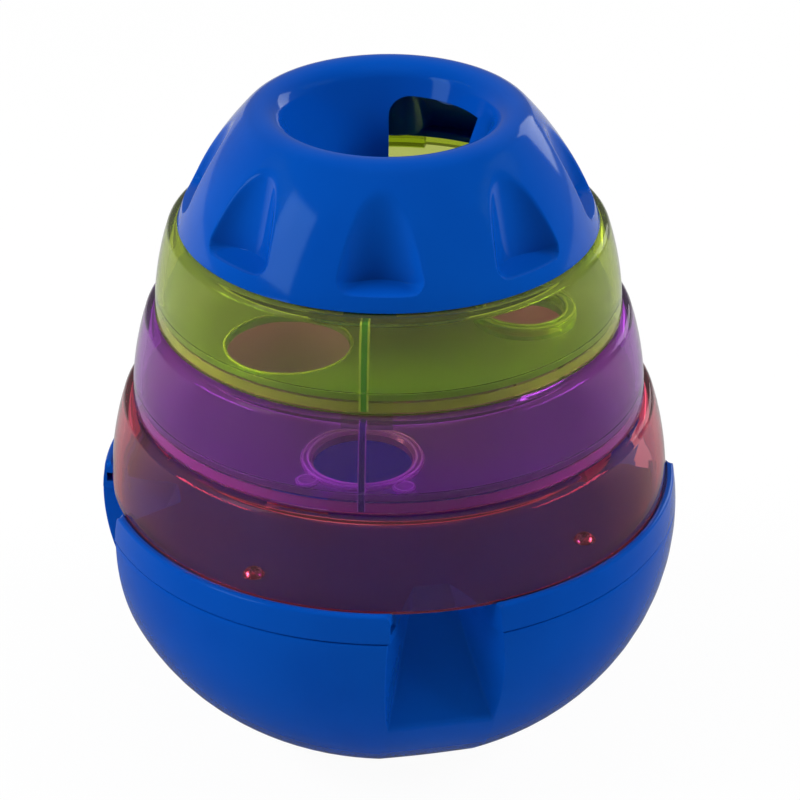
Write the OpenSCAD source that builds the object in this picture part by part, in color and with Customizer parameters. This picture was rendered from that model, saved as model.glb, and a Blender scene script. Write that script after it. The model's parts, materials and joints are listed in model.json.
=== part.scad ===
// Treat dispensing tower for dogs: a weighted bowl, three clear tiers and a funnel cap.
// Treats drop through the funnel, from floor to floor, and leave by four chutes in the bowl.
// Millimetres, +Z up, the front faces -Y, and the origin is the centre of the flat foot.

/* [Tiers] */
// Outer radius of the lower tier at its bottom edge
lower_tier_r = 73.1; // [72:0.1:78]
// Radius lost from each tier to the next
tier_step = 6.5; // [6:0.1:7.5]
// Height from one tier's bottom edge to the next
tier_h = 24.2; // [20:0.1:30]
// Radius of a tier wall's bulge, seen from the side
tier_curve_r = 80; // [70:1:120]
// Inward lean of a tier wall at its bottom edge, in degrees
tier_lean = 1.5; // [0.5:0.1:3]
// Thickness of the clear tier walls
tier_wall_t = 2.2; // [1.8:0.1:2.6]
// Radius of the round shoulder at a tier's top
shoulder_r = 2.3; // [1.5:0.1:3]
// Open seam between one tier and the next
seam = 0.3; // [0.2:0.05:0.6]
// Height of the neck that stands up inside the tier above
neck_h = 3.2; // [2.5:0.1:5]
// Thickness of that neck
neck_t = 2; // [1.5:0.1:2.4]
// Thickness of the tier floors
floor_t = 2; // [1.5:0.1:3]
// Width of the upright rib inside a tier wall
rib_w = 1.8; // [1.2:0.1:3]
// Depth of the rib
rib_d = 1.6; // [1:0.1:2.2]
// Width of the step that a floor is pushed up against
floor_step = 0.5; // [0.3:0.1:0.8]

/* [Treat holes] */
// Diameter of the upper floor's wide hole
wide_hole_d = 30; // [20:0.5:31]
// Width of floor between the wide hole and the floor's edge
wide_hole_rim = 2.5; // [2:0.1:5]
// Diameter of the upper floor's collared hole
collar_hole_d = 20; // [14:0.5:24]
// Diameter of the middle floor's hole
drop_hole_d = 24.5; // [18:0.5:26]
// Width of floor between that hole and the floor's edge
drop_hole_rim = 4.3; // [4:0.1:8]
// Width of the raised collar round a hole
collar_w = 3; // [2:0.1:4]
// Height of the tall collar in the upper floor
tall_collar_h = 3; // [1.5:0.1:5]
// Height of the low collar in the middle floor
low_collar_h = 0.8; // [0.5:0.1:2]
// Radius of the two ears beside the low collar
ear_r = 3; // [2:0.1:4]

/* [Twist lock] */
// Turn that frees a tier, in degrees
unlock_turn = 45; // [30:1:55]
// Width of a lock hook
hook_w = 12; // [8:0.5:14]
// Thickness of a hook's leg
hook_leg_t = 2; // [1.5:0.1:3]
// Reach of a hook's toe under the flange
hook_reach = 2.6; // [1.5:0.1:3]
// Height of a hook's toe
toe_h = 2; // [1.5:0.1:3]
// Reach of the lower tier's tabs under the lips
tab_reach = 1.5; // [1:0.1:1.8]
// Running gap of the twist locks
lock_gap = 0.3; // [0.2:0.05:0.5]
// Gap round a neck in the piece above
neck_gap = 0.4; // [0.3:0.05:0.6]
// Room at each end of a hook's way, in degrees
lock_room = 1.5; // [0.5:0.1:3]

/* [Cap] */
// Thickness of the cap's wall
cap_wall_t = 2.4; // [2:0.1:3]
// Height of the cap, from its bottom edge to the top of the rim
cap_h = 30.7; // [27:0.1:36]
// Radius of the curve of the dome
dome_curve_r = 85.7; // [75:0.1:110]
// Radius of the circle along the crest of the rolled rim
rim_crest_r = 31.8; // [30:0.1:34]
// Radius of the roll at the rim
rim_roll_r = 6; // [5:0.1:7]
// Slope of the funnel, in degrees from upright
funnel_slope = 20; // [16:0.5:24]
// Inner radius of the tube below the funnel
tube_r = 16.2; // [14:0.1:18]
// Gap between the tube's end and the floor below it
tube_gap = 0.5; // [0.3:0.1:3]
// Height of the window's top above the cap's bottom edge
window_top = 22.8; // [18:0.1:24]
// Sector of the tube wall that the window takes, in degrees
window_sector = 66; // [50:1:80]
// Radius of the window's round corner
window_corner_r = 5; // [3:0.1:6]
// Height of the neck that the cap takes in
cap_neck_h = 2; // [1.5:0.1:2.4]
// Thickness of the flange inside the cap
cap_flange_t = 2.3; // [2:0.1:3]
// Number of finger recesses
recess_count = 8; // [6:1:10]
// Half width of a recess at its ledge
recess_half_w = 11; // [8:0.1:13]
// Radius of a recess at its top
recess_top_r = 5; // [3:0.1:7]
// Depth of a recess at its ledge
recess_depth = 6.3; // [4:0.1:7]
// Slope of the recess, in degrees from upright
recess_slope = 20; // [16:0.5:24]
// Wall behind a recess
recess_wall_t = 1.8; // [1.5:0.1:2.4]

/* [Base] */
// Height of the lower tier's bottom edge above the bowl's widest circle
seat_rise = 9.6; // [8:0.1:11]
// How far the bowl's widest circle stands out past the lower tier
bowl_bulge = 3.4; // [3:0.1:6]
// Radius of the bowl's curve, seen from the side
bowl_curve_r = 61.9; // [60:0.1:66]
// How much of the bowl's curve is cut off flat for the foot
foot_cut = 0.4; // [0.2:0.1:1]
// Thickness of the bowl's wall
bowl_wall_t = 2.6; // [2:0.1:3.2]
// Height of the lips on the deck's edge, above the parting line
lip_h = 7.8; // [7:0.1:9]
// How far the lips stand above the lower tier's bottom edge
lip_rise = 0.8; // [0.4:0.1:1.5]
// Radius of the lips' round outer edge
lip_round_r = 2.2; // [1:0.1:2.4]
// Thickness of the deck plate
deck_t = 2.5; // [2:0.1:3.5]
// Depth of the deck below the lower tier's bottom edge
deck_drop = 2.6; // [2:0.1:3.5]
// Width of the curb that the lower tier stands on, inside its tabs
curb_w = 1.2; // [0.8:0.1:2]
// Rise of the deck's crown
crown_h = 4; // [2:0.1:8]
// Radius of the deck's crown
crown_r = 50; // [40:0.5:52]
// Height of the ballast weight
ballast_h = 10; // [6:0.5:16]

/* [Chutes] */
// Number of chutes
chute_count = 4; // [3:1:5]
// Turn of the first chute from the front, in degrees
chute_turn = 11; // [0:1:45]
// Half width of a chute at the bowl's widest circle
chute_half_w = 14.3; // [11:0.1:16]
// Distance of the ramp's top edge from the axis, at the deck
ramp_top_d = 56; // [54:0.5:60]
// Half width of the ramp at its top edge
ramp_top_half_w = 4.5; // [3:0.1:8]
// Slope of the ramp, in degrees from upright
ramp_slope = 19.5; // [14:0.5:24]
// Spread of the chute walls toward the bottom, in degrees
chute_spread = 4.4; // [2:0.1:7]
// Thickness of the ramp and chute walls
chute_wall_t = 2.4; // [2:0.1:3]

/* [Screws] */
// Distance of the screws from the axis
screw_off = 60; // [57:0.1:62]
// Radius of a screw's shank
screw_r = 1.5; // [1.2:0.1:2]
// Length of a screw's shank
screw_len = 12; // [8:0.5:16]
// Radius of a screw's head
screw_head_r = 2.8; // [2.4:0.1:3.4]
// Height of a screw's head
screw_head_h = 1.9; // [1.5:0.1:2.4]
// Radius of the bosses that take the screws
boss_r = 4.5; // [3.5:0.1:6]
// Clearance of a screw in the deck
screw_gap = 0.2; // [0.1:0.05:0.4]

/* [Hidden] */
$fn = 96;
// Finer circles for the long curves of the walls
curve_fn = 360;
// Larger than the whole tower
big = 400;
// Overlap that makes cuts run past a face
cut = 1;
// Clearance of pieces that are pushed together for good
floor_fit = 0.05;

// Radii and heights of the stack, from the bottom up
bowl_widest_z = bowl_curve_r - foot_cut;
seat_z = bowl_widest_z + seat_rise;
middle_tier_r = lower_tier_r - tier_step;
upper_tier_r = middle_tier_r - tier_step;
cap_r = upper_tier_r - tier_step;
middle_z = seat_z + tier_h;
upper_z = middle_z + tier_h;
cap_z = upper_z + tier_h;
cap_top_z = cap_z + cap_h;

// Directions, as turns from the front toward +X
lock_count = 3;
lock_first = -5;
middle_lock_first = 55;
rib_turn = -5;
wide_hole_turn = -37;
collar_hole_turn = 62;
drop_hole_turn = -7.5;
ear_turn = 44.5;
window_first = 114;

// Base heights
lip_top_z = seat_z + lip_rise;
parting_z = lip_top_z - lip_h;
deck_z = seat_z - deck_drop;
deck_under_z = deck_z - deck_t;
bowl_r = lower_tier_r + bowl_bulge;
bowl_arc_x = bowl_r - bowl_curve_r;
chute_pitch = 360 / chute_count;
boss_turn = chute_turn + chute_pitch / 2;
tab_turn = chute_turn - unlock_turn;

// The lower tier's tabs run in a channel behind the lips
lip_inner_r = lower_tier_r + lock_gap;
tab_inner_r = lower_tier_r - tier_wall_t + lock_gap;
tab_outer_r = lower_tier_r - lock_gap;
tab_toe_r = lower_tier_r + tab_reach;
channel_z = deck_under_z + lock_gap;
deck_band_r = tab_inner_r - lock_gap - curb_w;
tab_bottom_z = channel_z + lock_gap;

// A point on a circle about the axis, at a turn from the front toward +X
function at_turn(r, turn, z = 0) = [r * sin(turn), -r * cos(turn), z];

// Radius of the outside of a tier wall at a height above its bottom edge
function tier_arc_x(r) = r - tier_curve_r * cos(tier_lean);
tier_arc_drop = tier_curve_r * sin(tier_lean);
function tier_skin_r(r, h, in = 0) =
    tier_arc_x(r) + sqrt(pow(tier_curve_r - in, 2) - pow(h + tier_arc_drop, 2));

// Radius of the bore that a tier's floor is pushed into, from below
function floor_seat_r(r) = tier_skin_r(r, neck_h + floor_t, tier_wall_t) + floor_step;

// Radius of that floor
function floor_disc_r(r) = floor_seat_r(r) - floor_fit;

// Two treat holes lie by a floor's edge, and the collared one lies midway between the tube and the edge
tube_outer_r = tube_r + cap_wall_t;
wide_hole_off = floor_disc_r(upper_tier_r) - wide_hole_rim - wide_hole_d / 2;
collar_hole_off = (tube_outer_r + floor_disc_r(upper_tier_r)) / 2;
drop_hole_off = floor_disc_r(middle_tier_r) - drop_hole_rim - drop_hole_d / 2;

// Inner radius of the neck that stands in a socket of the piece above
function neck_inner_r(socket_r) = socket_r - neck_gap - neck_t;

// Angle that a width takes up on a circle
function width_angle(w, r) = 2 * asin(w / 2 / r);

// Ring of rectangular section over a sector that starts at a turn from the front
module ring_sector(r0, r1, z0, z1, first, sector) {
    rotate([0, 0, first - 90])
        rotate_extrude(angle = sector)
            translate([r0, z0])
                square([r1 - r0, z1 - z0]);
}

// Half section of the space inside a tier's curve, up to a height, with a round top edge
module tier_section(r, top, in, ball) {
    arc_z = -tier_arc_drop;
    ball_z = top - ball;
    ball_x = tier_arc_x(r) + sqrt(pow(tier_curve_r - in - ball, 2) - pow(ball_z - arc_z, 2));
    lean = atan2(ball_z - arc_z, ball_x - tier_arc_x(r));
    join_z = arc_z + (tier_curve_r - in) * sin(lean);
    intersection() {
        translate([tier_arc_x(r), arc_z])
            circle(tier_curve_r - in, $fn = curve_fn);
        translate([0, -cut])
            square([big, join_z + cut]);
    }
    intersection() {
        translate([ball_x, ball_z])
            circle(ball);
        translate([0, join_z])
            square([big, big]);
    }
    translate([0, join_z])
        square([ball_x, top - join_z]);
}

// Clear ring: a bulging wall, a round shoulder and a neck for the piece above
module tier_ring(r, z, socket_r, socket_h, first_hook, has_floor) {
    top = tier_h - seam;
    bore_r = neck_inner_r(socket_r);
    neck_top = tier_h + socket_h;
    floor_top = neck_h + floor_t;
    toe_r = bore_r + hook_reach + lock_gap;
    notch = width_angle(hook_w, bore_r) + 2 * lock_room;
    translate([0, 0, z]) {
        difference() {
            rotate_extrude()
                difference() {
                    union() {
                        intersection() {
                            tier_section(r, top, 0, shoulder_r);
                            square([big, big]);
                        }
                        square([socket_r - neck_gap, neck_top]);
                    }
                    tier_section(r, top - tier_wall_t, tier_wall_t, shoulder_r / 2);
                    translate([0, -cut])
                        square([bore_r, big]);
                    if (has_floor)
                        translate([0, -cut])
                            square([floor_seat_r(r), floor_top + cut]);
                }
            for (i = [0 : lock_count - 1])
                ring_sector(
                    bore_r - cut, toe_r, top - tier_wall_t - cut, neck_top + cut,
                    first_hook + unlock_turn + i * 360 / lock_count - notch / 2, notch
                );
        }
        if (has_floor)
            tier_rib(r, floor_top + 2 * low_collar_h, top - tier_wall_t);
    }
}

// Upright rib on the inside of a tier wall
module tier_rib(r, bottom, top) {
    intersection() {
        rotate_extrude()
            difference() {
                tier_section(r, tier_h, tier_wall_t / 2, shoulder_r / 2);
                tier_section(r, tier_h, tier_wall_t + rib_d, shoulder_r / 2);
            }
        rotate([0, 0, rib_turn - 90])
            translate([0, -rib_w / 2, bottom])
                cube([big, rib_w, top - bottom]);
    }
}

// Lock hooks that hang from a piece: legs with toes that reach outward
module hooks(socket_r, root, first_hook) {
    leg_r = neck_inner_r(socket_r) - lock_gap;
    toe_top = -seam - tier_wall_t - lock_gap;
    angle = width_angle(hook_w, leg_r);
    for (i = [0 : lock_count - 1]) {
        first = first_hook + i * 360 / lock_count - angle / 2;
        ring_sector(leg_r - hook_leg_t, leg_r, toe_top - toe_h, root, first, angle);
        ring_sector(leg_r - hook_leg_t, leg_r + hook_reach, toe_top - toe_h, toe_top, first, angle);
    }
}

// Clear disc pushed into a tier wall, with the hooks that lock on the tier below
module tier_disc(r, z, first_hook) {
    translate([0, 0, z]) {
        translate([0, 0, neck_h])
            cylinder(r = floor_disc_r(r), h = floor_t);
        hooks(floor_seat_r(r), neck_h + floor_t / 2, first_hook);
    }
}

// The dome's curve runs through the cap's bottom edge and into the rolled rim
rim = [rim_crest_r, cap_top_z - rim_roll_r];
dome_foot = [cap_r, cap_z];
dome_span = norm(rim - dome_foot);
dome_chord = (rim - dome_foot) / dome_span;
dome_to_rim_r = dome_curve_r - rim_roll_r;
dome_along = (pow(dome_curve_r, 2) - pow(dome_to_rim_r, 2) + pow(dome_span, 2)) / (2 * dome_span);
dome_aside = sqrt(pow(dome_curve_r, 2) - pow(dome_along, 2));
dome_centre = dome_foot + dome_along * dome_chord + dome_aside * [-dome_chord[1], dome_chord[0]];

// Radius of the dome at a height, drawn in by a wall
function dome_skin_r(z, in = 0) =
    dome_centre[0] + sqrt(pow(dome_curve_r - in, 2) - pow(z - dome_centre[1], 2));

// Flange inside the cap, which sits on the upper tier's neck
cap_flange_z = cap_z + cap_neck_h;
recess_ledge_z = cap_flange_z + cap_flange_t;
cap_socket_r = dome_skin_r(cap_flange_z, cap_wall_t);

// Half section of the cap between its dome, rolled rim and funnel, drawn in by a wall
module cap_section(in) {
    outward = (rim - dome_centre) / norm(rim - dome_centre);
    inward = [-cos(funnel_slope), sin(funnel_slope)];
    funnel_top = rim + (rim_roll_r - in) * inward;
    throat_r = tube_r + in;
    throat_z = funnel_top[1] - (funnel_top[0] - throat_r) / tan(funnel_slope);
    translate(rim)
        circle(rim_roll_r - in);
    intersection() {
        translate(dome_centre)
            circle(dome_curve_r - in, $fn = curve_fn);
        polygon([
            rim, rim + big * outward, [big, -big], [throat_r, -big], [throat_r, throat_z], funnel_top
        ]);
    }
}

// Cones that scoop the finger recesses, grown by a wall
module recess_cones(grow) {
    back_r = dome_skin_r(recess_ledge_z) - recess_depth;
    run = cap_top_z - recess_ledge_z;
    taper = atan((recess_half_w - recess_top_r) / run);
    tilt = recess_slope + taper;
    below = recess_half_w;
    for (i = [0 : recess_count - 1])
        rotate([0, 0, i * 360 / recess_count - 90])
            intersection() {
                translate([back_r, 0, recess_ledge_z])
                    rotate([0, -tilt, 0])
                        translate([recess_half_w, 0, -below])
                            cylinder(
                                r1 = recess_half_w + below * tan(taper) + grow,
                                r2 = recess_top_r + grow,
                                h = run + below
                            );
                translate([0, -big / 2, recess_ledge_z - grow])
                    cube([big, big, big]);
            }
}

// Opening in the side of the funnel and tube, with one round top corner
module tube_window() {
    top = cap_z + window_top;
    low = upper_z;
    outer = rim_crest_r - rim_roll_r / 2;
    corner = width_angle(2 * window_corner_r, outer) / 2;
    ring_sector(cut, outer, low, top - window_corner_r, window_first, window_sector);
    ring_sector(cut, outer, low, top, window_first, window_sector - corner);
    translate([0, 0, top - window_corner_r])
        rotate([0, 0, window_first + window_sector - corner - 90])
            rotate([0, 90, 0])
                cylinder(r = window_corner_r, h = outer);
}

// Plain wedge of one chute: a sloping ramp at the back and two walls that spread
module chute_wedge(grow) {
    low_z = 0;
    high_z = lip_top_z + cut;
    flare = (chute_half_w - ramp_top_half_w) / (bowl_r * cos(asin(chute_half_w / bowl_r)) - ramp_top_d);
    far_d = 2 * bowl_r;
    function ramp_d(z) = ramp_top_d + (deck_z - z) * tan(ramp_slope) - grow;
    function half_w(d, z) =
        ramp_top_half_w + (d - ramp_top_d) * flare
        + (deck_z - z) * tan(chute_spread) + grow * norm([1, flare]);
    function corner(d, z, side) = [d, side * half_w(d, z), z];
    polyhedron(
        points = [
            corner(ramp_d(low_z), low_z, -1), corner(far_d, low_z, -1),
            corner(far_d, low_z, 1), corner(ramp_d(low_z), low_z, 1),
            corner(ramp_d(high_z), high_z, -1), corner(far_d, high_z, -1),
            corner(far_d, high_z, 1), corner(ramp_d(high_z), high_z, 1)
        ],
        faces = [[0, 1, 2, 3], [7, 6, 5, 4], [0, 4, 5, 1], [1, 5, 6, 2], [2, 6, 7, 3], [3, 7, 4, 0]]
    );
}

module chutes(grow = 0) {
    for (i = [0 : chute_count - 1])
        rotate([0, 0, chute_turn + i * chute_pitch - 90])
            chute_wedge(grow);
}

// Half section of the bowl's curve, drawn in by a wall
module bowl_section(in) {
    translate([bowl_arc_x, bowl_widest_z])
        circle(bowl_curve_r - in, $fn = curve_fn);
    translate([0, bowl_widest_z - bowl_curve_r + in])
        square([bowl_arc_x, 2 * (bowl_curve_r - in)]);
}

// Places at the four screws
module at_screws() {
    for (i = [0 : chute_count - 1])
        translate(at_turn(screw_off, boss_turn + i * chute_pitch))
            children();
}

module base_bowl() {
    color("royalblue")
        difference() {
            union() {
                rotate_extrude()
                    intersection() {
                        bowl_section(0);
                        square([big, parting_z]);
                    }
                translate([0, 0, parting_z - cut])
                    cylinder(r = deck_band_r - lock_gap, h = deck_under_z - parting_z + cut);
            }
            difference() {
                rotate_extrude()
                    intersection() {
                        bowl_section(bowl_wall_t);
                        translate([0, bowl_wall_t])
                            square([big, big]);
                    }
                chutes(chute_wall_t);
                at_screws()
                    cylinder(r = boss_r, h = big);
            }
            chutes();
            at_screws()
                translate([0, 0, deck_z - screw_len - cut])
                    cylinder(r = screw_r + floor_fit, h = big);
        }
}

module ballast_weight() {
    color("dimgray")
        rotate_extrude()
            intersection() {
                bowl_section(bowl_wall_t + lock_gap);
                translate([0, bowl_wall_t])
                    square([big, ballast_h]);
            }
}

// Half section of the deck: crowned plate, seat for the lower tier and rim with a round edge
module deck_section() {
    ball_z = lip_top_z - lip_round_r;
    ball_x = bowl_arc_x + sqrt(pow(bowl_curve_r - lip_round_r, 2) - pow(ball_z - bowl_widest_z, 2));
    crown_curve_r = (pow(crown_r, 2) + pow(crown_h, 2)) / (2 * crown_h);
    difference() {
        union() {
            translate([0, deck_under_z])
                square([deck_band_r + cut, deck_t]);
            intersection() {
                translate([0, deck_z + crown_h - crown_curve_r])
                    circle(crown_curve_r, $fn = curve_fn);
                translate([0, deck_under_z])
                    square([crown_r, deck_t + crown_h]);
            }
        }
        translate([0, deck_under_z + crown_h - crown_curve_r])
            circle(crown_curve_r, $fn = curve_fn);
    }
    difference() {
        union() {
            intersection() {
                bowl_section(0);
                translate([deck_band_r, parting_z])
                    square([big, ball_z - parting_z]);
            }
            intersection() {
                translate([ball_x, ball_z])
                    circle(lip_round_r);
                translate([ball_x, ball_z])
                    square(lip_round_r);
            }
            translate([deck_band_r, ball_z])
                square([ball_x - deck_band_r, lip_round_r]);
        }
        translate([0, seat_z])
            square([lip_inner_r, big]);
    }
}

module base_deck() {
    tab_angle = width_angle(hook_w, tab_inner_r);
    color("royalblue")
        difference() {
            rotate_extrude()
                deck_section();
            chutes();
            for (i = [0 : chute_count - 1]) {
                first = tab_turn + i * chute_pitch - tab_angle / 2 - lock_room;
                ring_sector(tab_inner_r - lock_gap, lower_tier_r, channel_z, big, first, unlock_turn);
                ring_sector(
                    tab_inner_r - lock_gap, tab_toe_r + lock_gap, channel_z,
                    tab_bottom_z + toe_h + lock_gap, first, unlock_turn
                );
            }
            at_screws()
                cylinder(r = screw_r + screw_gap, h = big);
        }
}

module deck_screws() {
    dome_r = (pow(screw_head_r, 2) + pow(screw_head_h, 2)) / (2 * screw_head_h);
    color("silver")
        at_screws() {
            translate([0, 0, deck_z])
                intersection() {
                    translate([0, 0, screw_head_h - dome_r])
                        sphere(dome_r);
                    cylinder(r = screw_head_r, h = screw_head_h);
                }
            translate([0, 0, deck_z - screw_len])
                cylinder(r = screw_r, h = screw_len + cut / 2);
        }
}

module lower_tier_wall() {
    tab_angle = width_angle(hook_w, tab_inner_r);
    color("crimson", 0.6) {
        tier_ring(lower_tier_r, seat_z, floor_seat_r(middle_tier_r), neck_h, middle_lock_first, false);
        for (i = [0 : chute_count - 1]) {
            first = tab_turn + i * chute_pitch - tab_angle / 2;
            ring_sector(tab_inner_r, tab_outer_r, tab_bottom_z, seat_z + cut, first, tab_angle);
            ring_sector(tab_inner_r, tab_toe_r, tab_bottom_z, tab_bottom_z + toe_h, first, tab_angle);
        }
    }
}

module middle_tier_wall() {
    color("purple", 0.6)
        tier_ring(middle_tier_r, middle_z, floor_seat_r(upper_tier_r), neck_h, lock_first, true);
}

module middle_tier_floor() {
    hole = at_turn(drop_hole_off, drop_hole_turn, middle_z + neck_h);
    collar_r = drop_hole_d / 2 + collar_w;
    color("purple", 0.6)
        difference() {
            union() {
                tier_disc(middle_tier_r, middle_z, middle_lock_first);
                intersection() {
                    cylinder(r = floor_disc_r(middle_tier_r), h = big);
                    translate(hole) {
                        cylinder(r = collar_r, h = floor_t + low_collar_h);
                        for (side = [-1, 1])
                            translate(at_turn(collar_r + ear_r / 2, drop_hole_turn + side * ear_turn))
                                cylinder(r = ear_r, h = floor_t + low_collar_h / 2);
                    }
                }
            }
            translate(hole)
                translate([0, 0, -cut])
                    cylinder(r = drop_hole_d / 2, h = floor_t + low_collar_h + 2 * cut);
        }
}

module upper_tier_wall() {
    color("yellowgreen", 0.6)
        tier_ring(upper_tier_r, upper_z, cap_socket_r, cap_neck_h, lock_first, true);
}

module upper_tier_floor() {
    floor_z = upper_z + neck_h;
    wide_hole = at_turn(wide_hole_off, wide_hole_turn, floor_z);
    collar_hole = at_turn(collar_hole_off, collar_hole_turn, floor_z);
    color("yellowgreen", 0.6)
        difference() {
            union() {
                tier_disc(upper_tier_r, upper_z, lock_first);
                translate(collar_hole)
                    cylinder(r = collar_hole_d / 2 + collar_w, h = floor_t + tall_collar_h);
            }
            translate(wide_hole)
                translate([0, 0, -cut])
                    cylinder(r = wide_hole_d / 2, h = floor_t + 2 * cut);
            translate(collar_hole)
                translate([0, 0, -cut])
                    cylinder(r = collar_hole_d / 2, h = floor_t + tall_collar_h + 2 * cut);
        }
}

module top_cap() {
    flange_r = neck_inner_r(cap_socket_r) - lock_gap - hook_leg_t;
    color("royalblue")
        difference() {
            union() {
                difference() {
                    rotate_extrude()
                        difference() {
                            intersection() {
                                cap_section(0);
                                translate([0, cap_z])
                                    square([big, big]);
                            }
                            square(rim);
                        }
                    difference() {
                        rotate_extrude()
                            cap_section(cap_wall_t);
                        recess_cones(recess_wall_t);
                        ring_sector(flange_r, big, cap_flange_z, recess_ledge_z, 0, 360);
                    }
                }
                translate([0, 0, cap_z])
                    hooks(cap_socket_r, cap_neck_h + cap_flange_t / 2, lock_first);
            }
            recess_cones(0);
        }
}

// The funnel hangs from the rolled rim, and its tube ends just above the upper floor
module cap_funnel() {
    tube_low_z = upper_z + neck_h + floor_t + tube_gap;
    color("royalblue")
        difference() {
            rotate_extrude()
                intersection() {
                    difference() {
                        cap_section(0);
                        cap_section(cap_wall_t);
                    }
                    translate([0, tube_low_z])
                        square(rim - [0, tube_low_z]);
                }
            tube_window();
        }
}

base_bowl();
ballast_weight();
base_deck();
deck_screws();
lower_tier_wall();
middle_tier_wall();
middle_tier_floor();
upper_tier_wall();
upper_tier_floor();
top_cap();
cap_funnel();
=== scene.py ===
"""Looks of a treat dispensing tower: glossy blue mouldings, three clear tiers and a plain studio.

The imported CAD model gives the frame. Each visible node is replaced by a finer mesh of the same size,
with rounded edges, that rides on the node's own body. Sizes are in millimetres, with the front at -Y.
A turn is an angle about the axis, counted in degrees from the front toward +X.
"""

from __future__ import annotations

import json
import logging
import math
from dataclasses import dataclass
from enum import Enum
from functools import cache

import bmesh
import bpy
import numpy as np
from mathutils import Matrix, Vector

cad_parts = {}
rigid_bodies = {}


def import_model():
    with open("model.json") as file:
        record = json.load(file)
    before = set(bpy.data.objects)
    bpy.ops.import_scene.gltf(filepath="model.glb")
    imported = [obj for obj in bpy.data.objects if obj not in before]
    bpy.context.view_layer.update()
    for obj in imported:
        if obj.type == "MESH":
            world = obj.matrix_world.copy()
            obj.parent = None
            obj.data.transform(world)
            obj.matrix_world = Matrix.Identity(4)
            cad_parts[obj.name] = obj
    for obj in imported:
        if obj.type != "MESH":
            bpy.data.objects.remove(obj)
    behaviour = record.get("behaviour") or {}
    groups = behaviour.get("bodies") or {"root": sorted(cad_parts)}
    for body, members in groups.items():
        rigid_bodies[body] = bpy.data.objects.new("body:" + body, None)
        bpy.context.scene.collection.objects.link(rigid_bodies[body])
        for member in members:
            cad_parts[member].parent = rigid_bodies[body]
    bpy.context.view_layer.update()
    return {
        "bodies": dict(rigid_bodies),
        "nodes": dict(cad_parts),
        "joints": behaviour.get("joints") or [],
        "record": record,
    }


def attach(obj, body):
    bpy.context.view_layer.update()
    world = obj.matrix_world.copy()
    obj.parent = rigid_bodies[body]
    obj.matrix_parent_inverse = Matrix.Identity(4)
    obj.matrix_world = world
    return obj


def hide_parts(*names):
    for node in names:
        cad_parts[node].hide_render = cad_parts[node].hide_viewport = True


log = logging.getLogger("treat_tower")

Mesh = bpy.types.Mesh
Node = bpy.types.Node
Paint = bpy.types.Material
Socket = bpy.types.NodeSocket
Tree = bpy.types.NodeTree
Number = float | np.ndarray
Corner = tuple[float, float, float]
Tint = tuple[float, float, float]
Screen = tuple[int, int, int]

MM = 0.001
HAIR = 0.02  # gap that keeps two faces out of one plane
FAR = 999.0  # a radius beyond everything
NEARLY_STRAIGHT = math.radians(88)
SIDE_SHARE = 0.49  # the most of a side that one rounded corner takes
SHARP = 32.0  # degrees from which on an edge stays sharp
WHITE = (1.0, 1.0, 1.0, 1.0)


class Cut(Enum):
    """What a boolean step does with the second shape."""

    AWAY = "DIFFERENCE"
    ADD = "UNION"


def smooth_min(a: Number, b: Number, blend: float) -> Number:
    """The lower of two values, rounded over a width where they cross."""
    share = np.clip(0.5 + 0.5 * (b - a) / blend, 0.0, 1.0)
    return b * (1 - share) + a * share - blend * share * (1 - share)


def smooth_max(a: Number, b: Number, blend: float) -> Number:
    """The higher of two values, rounded over a width where they cross."""
    return -smooth_min(-a, -b, blend)


def smooth_step(share: Number) -> Number:
    """Ease a share of 0 to 1 in and out."""
    return share * share * (3 - 2 * share)


def rounded(corners: list[Corner], steps: int = 5, closed: bool = True) -> np.ndarray:
    """Round the corners of a half section.

    Args:
        corners: Radius, height and rounding of each corner.
        steps: Points on each rounded corner.
        closed: Whether the last corner joins the first.

    Returns:
        The section's points, as rows of radius and height.
    """
    points: list[np.ndarray] = []
    count = len(corners)
    for i, (r, z, rounding) in enumerate(corners):
        here = np.array([r, z])
        if rounding <= 0 or (not closed and i in (0, count - 1)):
            points.append(here)
            continue
        before = np.array(corners[i - 1][:2]) - here
        after = np.array(corners[(i + 1) % count][:2]) - here
        sides = np.linalg.norm(before), np.linalg.norm(after)
        u, v = before / sides[0], after / sides[1]
        half = math.acos(float(np.clip(np.dot(u, v), -1, 1))) / 2
        if half > NEARLY_STRAIGHT:
            points.append(here)
            continue
        reach = min(rounding / math.tan(half), SIDE_SHARE * min(sides))
        centre = here + (u + v) / np.linalg.norm(u + v) * reach * math.tan(half) / math.sin(half)
        a, b = here + u * reach - centre, here + v * reach - centre
        turn = math.atan2(a[0] * b[1] - a[1] * b[0], float(np.dot(a, b)))
        for k in range(steps + 1):
            c, s = math.cos(turn * k / steps), math.sin(turn * k / steps)
            points.append(centre + np.array([a[0] * c - a[1] * s, a[0] * s + a[1] * c]))
    return np.array(points)


def block(near: float, far: float, low: float, high: float, soft: float = 0.0) -> np.ndarray:
    """A half section with four corners, the upper two of them rounded."""
    return rounded([(near, low, 0.0), (far, low, 0.0), (far, high, soft), (near, high, soft)])


def on_turn(radius: Number, turn: Number, height: Number) -> np.ndarray:
    """Points about the axis, by radius, turn and height, with x, y and z in the last place."""
    angle = np.radians(turn)
    return np.stack(np.broadcast_arrays(radius * np.sin(angle), -radius * np.cos(angle), height), axis=-1)


def crowded(right: np.ndarray, turn: float, count: int) -> np.ndarray:
    """Turns of a grid's columns, the same on both sides of several places round the axis.

    Args:
        right: Turns on the right of a place, from 0 on.
        turn: Turn of the first place.
        count: Number of places.

    Returns:
        The turns over the whole circle.
    """
    half = 180.0 / count
    one = np.concatenate([-right[:0:-1], right, [half]]) + turn
    return np.concatenate([one + k * 2 * half for k in range(count)])


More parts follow.
